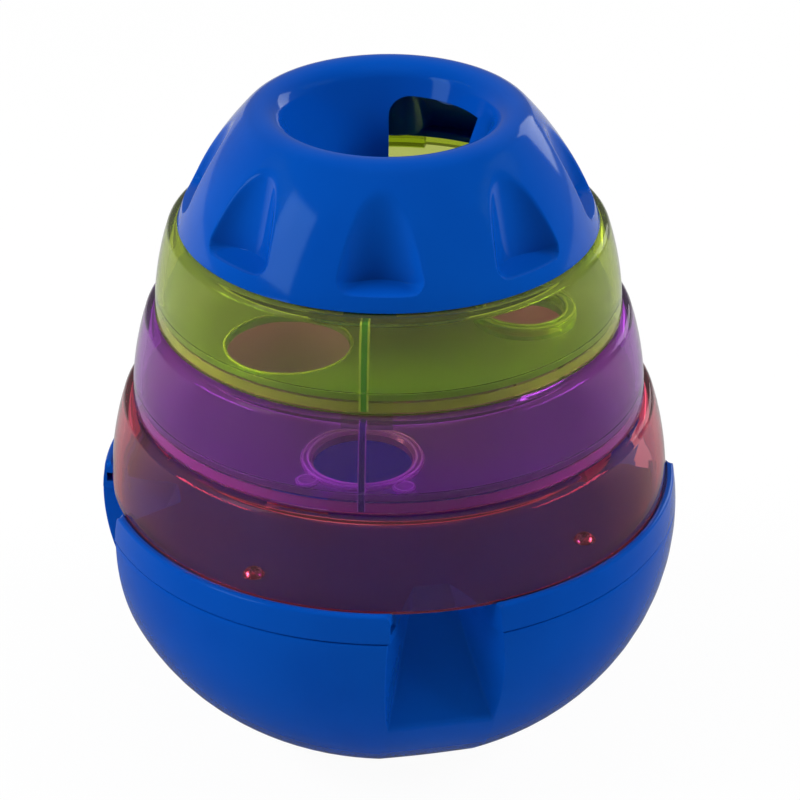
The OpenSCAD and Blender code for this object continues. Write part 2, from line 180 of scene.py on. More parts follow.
def nearest(turns: np.ndarray, turn: float, count: int) -> np.ndarray:
    """Degrees from the nearest of several places round the axis."""
    half = 180.0 / count
    return (turns - turn + half) % (2 * half) - half


@dataclass
class Shape:
    """A mesh in the making: points in millimetres and faces that list them."""

    points: np.ndarray
    faces: list[tuple[int, ...]]

    @classmethod
    def grid(cls, rows: np.ndarray, loop_rows: bool, loop_columns: bool, ends: bool = False) -> Shape:
        """Skin of a grid of points.

        Args:
            rows: Points, as rows by columns by three.
            loop_rows: Whether the last row joins the first.
            loop_columns: Whether the last column joins the first.
            ends: Whether the two open ends are closed with a flat face.

        Returns:
            The skin, with a single point in place of a row that lies on the axis.
        """
        high, wide = rows.shape[:2]
        index = np.arange(high * wide).reshape(high, wide)
        for i in range(high):
            if np.abs(rows[i, :, :2]).max() < 1e-6:
                index[i, :] = index[i, 0]
        below = index if loop_rows else index[:-1]
        above = np.roll(index, -1, axis=0) if loop_rows else index[1:]
        if loop_columns:
            quads = np.stack([below, np.roll(below, -1, axis=1), np.roll(above, -1, axis=1), above], axis=-1)
        else:
            quads = np.stack([below[:, :-1], below[:, 1:], above[:, 1:], above[:, :-1]], axis=-1)
        faces = [tuple(dict.fromkeys(quad)) for quad in quads.reshape(-1, 4).tolist()]
        faces = [face for face in faces if len(face) > 2]
        if ends:
            loops = (index[0], index[-1, ::-1]) if loop_columns else (index[:, 0], index[::-1, -1])
            faces += [tuple(loop.tolist()) for loop in loops]
        return cls(rows.reshape(-1, 3), faces)

    @classmethod
    def lathe(cls, section: np.ndarray, columns: int = 240, closed: bool = True) -> Shape:
        """Turn a half section about the axis, closed as a loop or open and ending on the axis."""
        turns = np.arange(columns) * 360.0 / columns
        return cls.grid(on_turn(section[:, :1], turns[None, :], section[:, 1:]), closed, True)

    @classmethod
    def sector(cls, section: np.ndarray, middle: float, sweep: float, steps: int = 12) -> Shape:
        """Turn a closed section through part of a circle, with flat ends."""
        turns = middle + sweep * (np.arange(steps + 1) / steps - 0.5)
        return cls.grid(on_turn(section[:, :1], turns[None, :], section[:, 1:]), True, False, True)

    def moved(self, place: np.ndarray) -> Shape:
        """The same shape at another place."""
        return Shape(self.points + place, self.faces)

    def mesh(self, name: str) -> Mesh:
        """Make a Blender mesh in metres, with its faces turned outward.

        Args:
            name: Name of the mesh.

        Returns:
            The mesh.
        """
        mesh = bpy.data.meshes.new(name)
        mesh.from_pydata((self.points * MM).tolist(), [], self.faces)
        work = bmesh.new()
        work.from_mesh(mesh)
        loose = [v for v in work.verts if not v.link_faces]
        bmesh.ops.delete(work, geom=loose, context="VERTS")
        bmesh.ops.remove_doubles(work, verts=work.verts, dist=1e-7)
        bmesh.ops.recalc_face_normals(work, faces=work.faces)
        work.to_mesh(mesh)
        work.free()
        return mesh


class Workbench:
    """Mesh steps that need a temporary object in the scene."""

    @staticmethod
    def place(mesh: Mesh, name: str) -> bpy.types.Object:
        """Link a mesh into the scene as an object at the origin.

        Args:
            mesh: The mesh.
            name: Name of the object.

        Returns:
            The object.
        """
        piece = bpy.data.objects.new(name, mesh)
        bpy.context.scene.collection.objects.link(piece)
        return piece

    @staticmethod
    def settled(piece: bpy.types.Object) -> Mesh:
        """Turn an object with modifiers into a plain mesh and remove the object.

        Args:
            piece: The object.

        Returns:
            The mesh.
        """
        graph = bpy.context.evaluated_depsgraph_get()
        mesh = bpy.data.meshes.new_from_object(piece.evaluated_get(graph))
        bpy.data.objects.remove(piece)
        return mesh

    @classmethod
    def carve(cls, mesh: Mesh, tools: list[Mesh], how: Cut) -> Mesh:
        """Cut shapes out of a mesh or add them to it.

        Args:
            mesh: The mesh to work on.
            tools: Closed meshes, used one after another.
            how: What is done with them.

        Returns:
            The new mesh.
        """
        piece = cls.place(mesh, "carved")
        helpers = []
        for tool in tools:
            helper = cls.place(tool, "tool")
            step = piece.modifiers.new("step", "BOOLEAN")
            step.operation, step.solver, step.object = how.value, "EXACT", helper
            helpers.append(helper)
        result = cls.settled(piece)
        for helper in helpers:
            bpy.data.objects.remove(helper)
        return result

    @staticmethod
    def merged(meshes: list[Mesh], name: str, sharp: float = SHARP) -> Mesh:
        """Put meshes together, shaded smooth up to an angle.

        Args:
            meshes: The meshes.
            name: Name of the result.
            sharp: Edges bent by more degrees than this stay sharp.

        Returns:
            One mesh.
        """
        work = bmesh.new()
        for mesh in meshes:
            work.from_mesh(mesh)
        whole = bpy.data.meshes.new(name)
        work.to_mesh(whole)
        work.free()
        whole.shade_smooth()
        whole.set_sharp_from_angle(angle=math.radians(sharp))
        return whole


class RingTree:
    """A Geometry Nodes tree that sets copies of a mesh about the axis and gives them their finish."""

    title = "copies"
    inputs: dict[str, str] = {}

    def __init__(self) -> None:
        """Build the inputs, the copies' places and the steps that all such trees share."""
        self.tree = bpy.data.node_groups.new(self.title, "GeometryNodeTree")
        self.link = self.tree.links.new
        for name, kind in {"Geometry": "Geometry", **self.inputs, "Finish": "Material"}.items():
            self.tree.interface.new_socket(name, in_out="INPUT", socket_type=f"NodeSocket{kind}")
        self.tree.interface.new_socket("Geometry", in_out="OUTPUT", socket_type="NodeSocketGeometry")
        self.source = self.node("NodeGroupInput")
        spread, real = self.node("GeometryNodeInstanceOnPoints"), self.node("GeometryNodeRealizeInstances")
        paint, result = self.node("GeometryNodeSetMaterial"), self.node("NodeGroupOutput")
        points, turn = self.places()
        self.link(points, spread.inputs["Points"])
        self.link(self.source.outputs["Geometry"], spread.inputs["Instance"])
        self.link(self.upright(turn), spread.inputs["Rotation"])
        self.link(spread.outputs[0], real.inputs[0])
        self.link(real.outputs[0], paint.inputs["Geometry"])
        self.link(self.source.outputs["Finish"], paint.inputs["Material"])
        self.link(paint.outputs[0], result.inputs[0])

    @classmethod
    @cache
    def shared(cls) -> RingTree:
        """The tree, built at its first use."""
        return cls()

    def node(self, kind: str) -> Node:
        """Add a node."""
        return self.tree.nodes.new(kind)

    def upright(self, turn: Socket) -> Socket:
        """The rotation about Z by a turn.

        Args:
            turn: The turn, in radians.

        Returns:
            The rotation.
        """
        euler = self.node("ShaderNodeCombineXYZ")
        self.link(turn, euler.inputs["Z"])
        return euler.outputs[0]

    def places(self) -> tuple[Socket, Socket]:
        """The copies' points and turns, which each kind of ring has in its own way."""
        raise NotImplementedError

    def settle(self, mesh: Mesh, finish: Paint, values: dict[str, float]) -> Mesh:
        """Repeat a mesh.

        Args:
            mesh: The mesh of one copy.
            finish: Material of the copies.
            values: The tree's own inputs.

        Returns:
            One plain mesh with all the copies.
        """
        piece = Workbench.place(mesh, "one copy")
        step = piece.modifiers.new("copies", "NODES")
        step.node_group = self.tree
        values = {**values, "Finish": finish}
        for item in self.tree.interface.items_tree:
            if item.in_out == "INPUT" and item.name in values:
                step[item.identifier] = values[item.name]
        return Workbench.settled(piece)


class CopyRing(RingTree):
    """Evenly spread copies of a mesh that lies at turn 0."""

    title = "copies about the axis"
    inputs = {"Count": "Int", "First turn": "Float"}

    def places(self) -> tuple[Socket, Socket]:
        """Put the copies' points on the axis.

        Returns:
            The points and their turns.
        """
        source = self.source.outputs
        points, index = self.node("GeometryNodePoints"), self.node("GeometryNodeInputIndex")
        pitch, turn = self.node("ShaderNodeMath"), self.node("ShaderNodeMath")
        pitch.operation, turn.operation = "DIVIDE", "MULTIPLY_ADD"
        pitch.inputs[0].default_value = math.tau
        self.link(source["Count"], points.inputs["Count"])
        self.link(source["Count"], pitch.inputs[1])
        self.link(index.outputs[0], turn.inputs[0])
        self.link(pitch.outputs[0], turn.inputs[1])
        self.link(source["First turn"], turn.inputs[2])
        return points.outputs[0], turn.outputs[0]

    @classmethod
    def copies(cls, mesh: Mesh, count: int, first: float, finish: Paint) -> Mesh:
        """Repeat a mesh from a first turn on, in degrees."""
        return cls.shared().settle(mesh, finish, {"Count": count, "First turn": math.radians(first)})


class ScrewRing(RingTree):
    """Copies of an upright screw on a circle, each with its own turn of the driver slot."""

    title = "screws on a circle"
    inputs = {"Count": "Int", "Circle": "Float", "First turn": "Float", "Seed": "Int"}
    seed = 4

    def places(self) -> tuple[Socket, Socket]:
        """Put the screws' points on their circle.

        Returns:
            The points and the turns of the slots.
        """
        source = self.source.outputs
        circle, around = self.node("GeometryNodeMeshCircle"), self.node("GeometryNodeTransform")
        chance = self.node("FunctionNodeRandomValue")
        chance.data_type = "FLOAT"
        chance.inputs[3].default_value = math.tau
        self.link(source["Count"], circle.inputs["Vertices"])
        self.link(source["Circle"], circle.inputs["Radius"])
        self.link(circle.outputs[0], around.inputs["Geometry"])
        self.link(self.upright(source["First turn"]), around.inputs["Rotation"])
        self.link(source["Seed"], chance.inputs["Seed"])
        return around.outputs[0], chance.outputs[1]

    @classmethod
    def screws(cls, mesh: Mesh, count: int, circle: float, first: float, finish: Paint) -> Mesh:
        """Set copies of a screw on a circle.

        Args:
            mesh: One screw on the axis.
            count: Number of screws.
            circle: Radius of their circle, in millimetres.
            first: Turn of the first screw, in degrees.
            finish: Material of the screws.

        Returns:
            One plain mesh with all the screws.
        """
        turn = math.radians(first - 90)
        values = {"Count": count, "Circle": circle * MM, "First turn": turn, "Seed": cls.seed}
        return cls.shared().settle(mesh, finish, values)


def linear(colour: Screen) -> tuple[float, ...]:
    """Turn a screen colour of 0 to 255 into a shader colour."""
    shares = [value / 255 for value in colour]
    return *(v / 12.92 if v <= 0.04045 else ((v + 0.055) / 1.055) ** 2.4 for v in shares), 1.0


class PaintTree:
    """A new material, with the node steps that the finishes share."""

    noise_low = 0.3
    noise_high = 0.7

    def __init__(self, name: str) -> None:
        """Start the material.

        Args:
            name: Its name.
        """
        self.paint = bpy.data.materials.new(name)
        self.paint.use_nodes = True
        self.nodes, self.link = self.paint.node_tree.nodes, self.paint.node_tree.links.new
        self.skin, self.out = self.nodes["Principled BSDF"], self.nodes["Material Output"]

    def dress(self, fed: dict[str, Socket], plain: dict[str, float | tuple]) -> None:
        """Give the skin its inputs.

        Args:
            fed: Inputs that follow another node.
            plain: Inputs with a value of their own.
        """
        for name, socket in fed.items():
            self.link(socket, self.skin.inputs[name])
        for name, value in plain.items():
            self.skin.inputs[name].default_value = value

    def noise(self, scale: float, detail: float) -> Socket:
        """Noise in the object's own coordinates.

        Args:
            scale: Grains to a metre, roughly.
            detail: Finer layers on top.

        Returns:
            The noise value.
        """
        where, grain = self.nodes.new("ShaderNodeTexCoord"), self.nodes.new("ShaderNodeTexNoise")
        grain.inputs["Scale"].default_value = scale
        grain.inputs["Detail"].default_value = detail
        self.link(where.outputs["Object"], grain.inputs["Vector"])
        return grain.outputs["Fac"]

    def spread(self, value: Socket, low: float, high: float) -> Socket:
        """Spread a noise value over a range.

        Args:
            value: The noise.
            low: Lower end of the range.
            high: Upper end of the range.

        Returns:
            The value in that range.
        """
        span = self.nodes.new("ShaderNodeMapRange")
        ends = {"From Min": self.noise_low, "From Max": self.noise_high, "To Min": low, "To Max": high}
        for name, end in ends.items():
            span.inputs[name].default_value = end
        self.link(value, span.inputs["Value"])
        return span.outputs["Result"]

    def shades(self, value: Socket, low: tuple[float, ...], high: tuple[float, ...]) -> Socket:
        """Colours between two shades.

        Args:
            value: The noise that they follow.
            low: Shade where it is low.
            high: Shade where it is high.

        Returns:
            The colour.
        """
        ramp = self.nodes.new("ShaderNodeValToRGB")
        first, last = ramp.color_ramp.elements
        first.position, last.position = self.noise_low, self.noise_high
        first.color, last.color = low, high
        self.link(value, ramp.inputs["Fac"])
        return ramp.outputs["Color"]

    def relief(self, value: Socket, strength: float, depth: float) -> Socket:
        """A bumped normal.

        Args:
            value: The height.
            strength: Share of the bump that is used.
            depth: Depth in metres.

        Returns:
            The normal.
        """
        bump = self.nodes.new("ShaderNodeBump")
        bump.inputs["Strength"].default_value = strength
        bump.inputs["Distance"].default_value = depth
        self.link(value, bump.inputs["Height"])
        return bump.outputs["Normal"]


@dataclass(frozen=True)
class GlossyMoulding:
    """Opaque moulded plastic with a high gloss."""

    name: str
    dark: Screen
    light: Screen
    shine: Screen
    shine_level: float = 0.5
    rough_low: float = 0.07
    rough_high: float = 0.12
    bending: float = 1.38

    def material(self) -> Paint:
        """Make the material.

        Returns:
            A plastic with faint flow shades and a slightly wavy skin.
        """
        tree = PaintTree(self.name)
        tree.dress({
            "Base Color": tree.shades(tree.noise(22.0, 2.0), linear(self.dark), linear(self.light)),
            "Roughness": tree.spread(tree.noise(900.0, 2.0), self.rough_low, self.rough_high),
            "Normal": tree.relief(tree.noise(60.0, 1.0), 0.05, 0.0004),
        }, {
            "Specular IOR Level": self.shine_level, "Specular Tint": linear(self.shine), "IOR": self.bending,
        })
        return tree.paint


@dataclass(frozen=True)
class ClearMoulding:
    """Clear tinted plastic that lets lamp light through in its own colour."""

    name: str
    tint: Tint
    soak: Tint
    shine: Screen
    haze: float = 0.03
    rough: float = 0.02
    passed: float = 0.75
    coat: float = 0.0
    wall_t: float = 2.2
    bending: float = 1.42
    flow_share: float = 0.95

    def material(self) -> Paint:
        """Make the material.

        Returns:
            A clear plastic, with a tinted shadow and a slightly wavy skin.
        """
        tree = PaintTree(self.name)
        nodes, link = tree.nodes, tree.link
        deep = (*(c * self.flow_share for c in self.tint), 1.0)
        tree.dress({
            "Base Color": tree.shades(tree.noise(30.0, 2.0), deep, (*self.tint, 1.0)),
            "Normal": tree.relief(tree.noise(45.0, 1.0), 0.04, 0.0004),
        }, {
            "Transmission Weight": 1.0 - self.haze, "Roughness": self.rough, "IOR": self.bending,
            "Coat Weight": self.coat, "Coat Roughness": 0.03, "Specular Tint": linear(self.shine),
        })
        lamps, shadow = nodes.new("ShaderNodeLightPath"), nodes.new("ShaderNodeBsdfTransparent")
        mix, body = nodes.new("ShaderNodeMixShader"), nodes.new("ShaderNodeVolumeAbsorption")
        shadow.inputs["Color"].default_value = (*(self.passed * math.sqrt(c) for c in self.tint), 1.0)
        loss = [-math.log(c) / (self.wall_t * MM) for c in self.soak]
        body.inputs["Density"].default_value = max(loss)
        body.inputs["Color"].default_value = (*(1.0 - c / max(loss) for c in loss), 1.0)
        link(lamps.outputs["Is Shadow Ray"], mix.inputs["Fac"])
        link(tree.skin.outputs[0], mix.inputs[1])
        link(shadow.outputs[0], mix.inputs[2])
        link(mix.outputs[0], tree.out.inputs["Surface"])
        link(body.outputs[0], tree.out.inputs["Volume"])
        return tree.paint


@dataclass(frozen=True)
class BareMetal:
    """Plain metal with a fine grain."""

    name: str
    dark: Screen
    light: Screen
    rough_low: float
    rough_high: float
    grain: float

    def material(self) -> Paint:
        """Make the material.

        Returns:
            A metal with a fine grain in its colour, gloss and relief.
        """
        tree = PaintTree(self.name)
        grain = tree.noise(self.grain, 4.0)
        tree.dress({
            "Base Color": tree.shades(grain, linear(self.dark), linear(self.light)),
            "Roughness": tree.spread(grain, self.rough_low, self.rough_high),
            "Normal": tree.relief(grain, 0.15, 0.0002),
        }, {"Metallic": 1.0})
        return tree.paint


Tints = tuple[Tint, Tint, Screen]
LIME_TINTS: Tints = ((0.94, 0.97, 0.58), (0.78, 0.84, 0.38), (205, 225, 150))
# The satin floor's tint is lime shifted toward teal: the lime is the plastic's own colour, the teal a painted
# reflection of the blue cap above it.
SATIN_LIME_TEAL_REFLECTION_TINTS: Tints = ((0.78, 0.95, 0.75), (0.7, 0.84, 0.45), LIME_TINTS[2])
# A deep green copy of the lime plastic, darker than the wall, for the rib's core: painted shade.
GREEN_RIB_SHADE_TINTS: Tints = ((0.12, 0.55, 0.05), (0.5, 0.8, 0.2), LIME_TINTS[2])
PURPLE_TINTS: Tints = ((0.93, 0.66, 0.97), (0.73, 0.42, 0.82), (215, 180, 230))
# A dark violet copy of the purple plastic, for the rib's core: painted shade.
VIOLET_RIB_SHADE_TINTS: Tints = ((0.1, 0.01, 0.35), (0.4, 0.1, 0.7), PURPLE_TINTS[2])
RED_TINTS: Tints = ((0.98, 0.6, 0.7), (0.92, 0.48, 0.57), (240, 195, 205))


class Finish(Enum):
    """The tower's finishes."""

    BLUE = GlossyMoulding("glossy blue plastic", (2, 66, 160), (3, 74, 170), (170, 225, 255))
    LIME = ClearMoulding("clear lime plastic", *LIME_TINTS, haze=0.04)
    # Its teal is a painted reflection of the blue cap.
    LIME_SATIN_TEAL_REFLECTION = ClearMoulding("satin lime plastic with painted teal reflection", *SATIN_LIME_TEAL_REFLECTION_TINTS, haze=0.2, rough=0.3, coat=1.0)
    LIME_COLLAR = ClearMoulding("frosted lime collar", (0.9, 0.97, 0.7), *LIME_TINTS[1:], haze=0.25)
    # The rib's core: painted shade.
    LIME_RIB_SHADE = ClearMoulding("dark green rib painted shade", *GREEN_RIB_SHADE_TINTS, haze=0.4)
    # A pale frosted copy of the lime plastic, for painted highlights on edges.
    LIME_GLINT_RING = ClearMoulding("frosted lime painted glint", (0.95, 0.97, 0.8), *LIME_TINTS[1:], haze=0.5)
    PURPLE = ClearMoulding("clear purple plastic", *PURPLE_TINTS, haze=0.035)
    PURPLE_SATIN = ClearMoulding("satin purple plastic", *PURPLE_TINTS, haze=0.13, rough=0.3, coat=1.0)
    PURPLE_NECK = ClearMoulding("satin purple neck", (0.95, 0.85, 1.0), *PURPLE_TINTS[1:], haze=0.3)
    PURPLE_COLLAR = ClearMoulding("frosted purple collar", *PURPLE_TINTS, haze=0.22)
    # The rib's core: painted shade.
    PURPLE_RIB_SHADE = ClearMoulding("dark violet rib painted shade", *VIOLET_RIB_SHADE_TINTS, haze=0.4)
    # A pale frosted copy of the purple plastic, for painted highlights on edges.
    PURPLE_GLINT_RING = ClearMoulding("frosted purple painted glint", (0.95, 0.85, 1.0), *PURPLE_TINTS[1:], haze=0.5)
    RED = ClearMoulding("clear red plastic", *RED_TINTS, haze=0.03, passed=0.68)
    RED_NECK = ClearMoulding("satin red neck", (0.98, 0.5, 0.65), *RED_TINTS[1:], haze=0.35)
    STEEL = BareMetal("bright screw steel", (168, 170, 174), (208, 210, 214), 0.18, 0.3, 1800.0)
    IRON = BareMetal("plain cast iron", (52, 52, 54), (78, 77, 76), 0.5, 0.7, 900.0)

    @cache
    def paint(self) -> Paint:
        """The finish's material, made at its first use."""
        return self.value.material()


@dataclass(frozen=True)
class Mount:
    """Where finished pieces go: the body that they ride on."""

    body: str
    slot: str

    def hand_over(
        self, meshes: list[Mesh], name: str, finish: Finish, nodes: tuple[str, ...] = (), sharp: float = SHARP
    ) -> None:
        """Join meshes into one piece and put it in the place of its nodes.

        Args:
            meshes: The piece's meshes, in the tower's frame.
            name: Name of the piece.
            finish: Its finish.
            nodes: The CAD nodes that it stands for, if any.
            sharp: Edges bent by more degrees than this stay sharp.
        """
        whole = Workbench.merged(meshes, name, sharp)
        whole.materials.clear()
        whole.materials.append(finish.paint())
        whole.polygons.foreach_set("material_index", [0] * len(whole.polygons))
        piece = Workbench.place(whole, name)
        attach(piece, self.body)
        if nodes:
            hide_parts(*nodes)
        log.info("%s: %d faces on %s", name, len(whole.polygons), self.body)


@dataclass(frozen=True)
class Stack:
    """Sizes that the tiers, the cap and the base share, as in the CAD source."""

    lower_r: float = 73.1
    step: float = 6.5
    seat_z: float = 71.1
    tier_h: float = 24.2
    curve_r: float = 80.0
    lean: float = 1.5
    wall_t: float = 2.2
    shoulder_r: float = 2.3
    seam: float = 0.3
    neck_h: float = 3.2
    neck_t: float = 2.0
    neck_gap: float = 0.4
    floor_t: float = 2.0
    floor_step: float = 0.5
    lock_gap: float = 0.3
    hook_w: float = 12.0
    hook_leg_t: float = 2.0
    hook_reach: float = 2.6
    toe_h: float = 2.0
    unlock_turn: float = 45.0
    lock_room: float = 1.5
    lock_count: int = 3
    tab_turn: float = -34.0
    tab_reach: float = 1.5

    def radius(self, level: int) -> float:
        """Outer radius at the bottom of a level, with 0 for the lower tier and 3 for the cap."""
        return self.lower_r - level * self.step

    def bottom(self, level: int) -> float:
        """Height of a level's bottom edge."""
        return self.seat_z + level * self.tier_h

    def skin_r(self, level: int, height: Number, inset: float = 0.0) -> Number:
        """Radius of a tier's bulging wall.

        Args:
            level: The tier.
            height: Height above its bottom edge.
            inset: How far inside the outer skin.

        Returns:
            The radius.
        """
        lean = math.radians(self.lean)
        middle = self.radius(level) - self.curve_r * math.cos(lean)
        rise = height + self.curve_r * math.sin(lean)
        return middle + np.sqrt((self.curve_r - inset) ** 2 - rise**2)

    def floor_seat_r(self, level: int) -> float:
        """Radius of the bore that takes a tier's floor."""
        return float(self.skin_r(level, self.neck_h + self.floor_t, self.wall_t)) + self.floor_step

    def neck_bore_r(self, socket_r: float) -> float:
        """Inner radius of a neck that stands in a socket."""
        return socket_r - self.neck_gap - self.neck_t

    def hook_sweep(self, radius: float) -> float:
        """Angle that the width of a hook takes up at a radius."""
        return math.degrees(2 * math.asin(self.hook_w / 2 / radius))

    def hooks(self, socket_r: float, root: float, bottom: float, turn: float, finish: Finish) -> Mesh:
        """The lock hooks of one piece.

        Args:
            socket_r: Radius of the socket whose neck they lock on.
            root: Height of their roots above the piece's bottom edge.
            bottom: Height of that bottom edge.
            turn: Turn of the first hook.
            finish: Their finish.

        Returns:
            The hooks' mesh, in the tower's frame.
        """
        leg = self.neck_bore_r(socket_r) - self.lock_gap
        top = -self.seam - self.wall_t - self.lock_gap
        low, back, tip = top - self.toe_h, leg - self.hook_leg_t, leg + self.hook_reach
        section = rounded([
            (back, low, 0.5), (tip, low, 0.5), (tip, top, 0.4), (leg, top, 0.4), (leg, root, 0.0),
            (back, root, 0.0),
        ])
        hook = Shape.sector(section, 0.0, self.hook_sweep(leg)).mesh("hook")
        hooks = CopyRing.copies(hook, self.lock_count, turn, finish.paint())
        hooks.transform(Matrix.Translation((0.0, 0.0, bottom * MM)))
        return hooks


@dataclass
class ClearTier:
    """One clear tier: its bulging wall, and the rib and the satin neck where it has them."""

    name: str
    level: int
    stack: Stack
    socket_r: float
    socket_h: float
    hook_turn: float
    finish: Finish
    slot: str
    # The rib's core takes a darker copy of the plastic, painted shade; its edge strips take a pale copy,
    # painted highlights.
    rib_shade_core: Finish | None = None
    rib_glint: Finish | None = None
    rib_glint_w: float = 0.5
    rib_turn: float = -5.7
    rib_w: float = 1.4
    rib_d: float = 1.6
    rib_foot: float = 0.4
    rib_film: float = 0.25
    rib_soft: float = 0.15
    film_t: float = 0.15
    gate_room: float = 1.5

    @property
    def mount(self) -> Mount:
        """The tier's own body and slot."""
        return Mount(self.name, self.slot)

    @property
    def lift(self) -> np.ndarray:
        """Place of the tier's bottom edge."""
        return np.array([0.0, 0.0, self.stack.bottom(self.level)])

    def section(self) -> np.ndarray:
        """Half section of the wall.

        Returns:
            Its points, with heights above the tier's bottom edge.
        """
        s, level = self.stack, self.level
        top, floor_top = s.tier_h - s.seam, s.neck_h + s.floor_t
        roof, neck_top = top - s.wall_t, s.tier_h + self.socket_h
        neck_r, bore_r = self.socket_r - s.neck_gap, s.neck_bore_r(self.socket_r)
        low = floor_top if level else 0.0
        corners: list[Corner] = [(s.radius(level), 0.0, 0.5)]
        corners += [(s.skin_r(level, h), h, 0.0) for h in np.linspace(2.0, top - 4.5, 10)]
        corners += [
            (s.skin_r(level, top), top, s.shoulder_r), (neck_r, top, 0.3), (neck_r, neck_top, 0.5),
            (bore_r, neck_top, 0.5), (bore_r, roof, 0.5),
            (s.skin_r(level, roof, s.wall_t), roof, s.shoulder_r / 2),
        ]
        corners += [(s.skin_r(level, h, s.wall_t), h, 0.0) for h in np.linspace(roof - 3.0, low + 2.0, 9)]
        corners.append((s.skin_r(level, low, s.wall_t), low, 0.2 if level else 0.4))
        if level:
            seat = s.floor_seat_r(level)
            corners += [(seat, floor_top, 0.15), (seat, 0.0, 0.4)]
        return rounded(corners)

    def wall(self) -> Mesh:
        """Mesh of the wall with its lock gates.

        Returns:
            The mesh, in the tower's frame.
        """
        s = self.stack
        wall = Shape.lathe(self.section()).moved(self.lift).mesh(self.name)
        bore_r, roof = s.neck_bore_r(self.socket_r), s.tier_h - s.seam - s.wall_t
        far = bore_r + s.hook_reach + s.lock_gap
        gate = block(bore_r - self.gate_room, far, roof - self.gate_room, s.tier_h + self.socket_h + 1)
        sweep = s.hook_sweep(bore_r) + 2 * s.lock_room
        turns = [self.hook_turn + s.unlock_turn + k * 360 / s.lock_count for k in range(s.lock_count)]
        gates = [Shape.sector(gate, turn, sweep).moved(self.lift).mesh("gate") for turn in turns]
        return Workbench.carve(wall, gates, Cut.AWAY)

    def rib(self, first: float, last: float) -> Mesh:
        """An upright strip on the inside of the wall, with a thin foot beside the floor.

        Args:
            first: Its left edge, aside of the rib's middle.
            last: Its right edge.

        Returns:
            The strip's mesh, in the tower's frame.
        """
        s = self.stack
        seat, floor_top = s.floor_seat_r(self.level), s.neck_h + s.floor_t
        heights = np.linspace(floor_top, s.tier_h - s.seam - s.wall_t, 14)
        inner = s.skin_r(self.level, heights, s.wall_t + self.rib_d)
        outer = s.skin_r(self.level, heights, s.wall_t)
        heights = np.concatenate([[self.rib_foot, floor_top - HAIR], heights])
        inner = np.concatenate([[seat - self.rib_film] * 2, inner])
        outer = np.concatenate([[seat] * 2, outer])
        turn = math.radians(self.rib_turn)
        c, sine = math.cos(turn), math.sin(turn)
        loops = []
        for low, high, z in zip(inner, outer, heights):
            soft = min(self.rib_soft, (high - low) / 3)
            ring = rounded([(low, first, soft), (high, first, 0.0), (high, last, 0.0), (low, last, soft)])
            out, aside = ring.T
            x, y = out * sine + aside * c, -out * c + aside * sine
            loops.append(np.stack([x, y, np.full(len(ring), z)], axis=-1))
        return Shape.grid(np.array(loops), False, True, True).moved(self.lift).mesh("rib")

    def dress_neck(self, finish: Finish) -> None:
        """Give the neck its satin face, a thin ring in the gap of its socket.

        Args:
            finish: The ring's finish.
        """
        s = self.stack
        near = self.socket_r - s.neck_gap + HAIR
        section = block(near, near + self.film_t, s.tier_h + 0.2, s.tier_h + self.socket_h - 0.6)
        film = Shape.lathe(section).moved(self.lift).mesh("neck_film")
        self.mount.hand_over([film], f"{self.name}_satin_neck", finish)

    def build_wall(self) -> None:
        """Make the wall and its rib and hand them over: the rib's core is a darker copy of the plastic,
        painted shade, between two pale strips, painted highlights of its refraction.
        """
        name, mount = self.name, self.mount
        mount.hand_over([self.wall()], f"{name}_clear_wall", self.finish, (f"{name}_wall",))
        if self.rib_shade_core and self.rib_glint:
            # A darker core, painted shade, between two pale strips, painted highlights.
            half, rim = self.rib_w / 2, self.rib_w / 2 + self.rib_glint_w
            edges = [self.rib(-rim, -half - HAIR), self.rib(half + HAIR, rim)]
            mount.hand_over([self.rib(-half, half)], f"{name}_rib", self.rib_shade_core)
            mount.hand_over(edges, f"{name}_rib_glints", self.rib_glint)


@dataclass
class LowerTier(ClearTier):
    """The lowest tier, with tabs at its foot that lock under the deck's lips."""

    tab_count: int = 4
    tab_low: float = 66.6

    def build_wall(self) -> None:
        """Make the wall with its tabs and hand it over."""
        s, low = self.stack, self.tab_low
        inner, outer = s.lower_r - s.wall_t + s.lock_gap, s.lower_r - s.lock_gap
        tip, top = s.lower_r + s.tab_reach, s.seat_z - HAIR
        section = rounded([
            (inner, low, 0.4), (tip, low, 0.4), (tip, low + s.toe_h, 0.4), (outer, low + s.toe_h, 0.3),
            (outer, top, 0.0), (inner, top, 0.0),
        ])
        tab = Shape.sector(section, 0.0, s.hook_sweep(inner)).mesh("tab")
        tabs = CopyRing.copies(tab, self.tab_count, s.tab_turn, self.finish.paint())
        nodes = (f"{self.name}_wall",)
        self.mount.hand_over([self.wall(), tabs], f"{self.name}_clear_wall", self.finish, nodes)


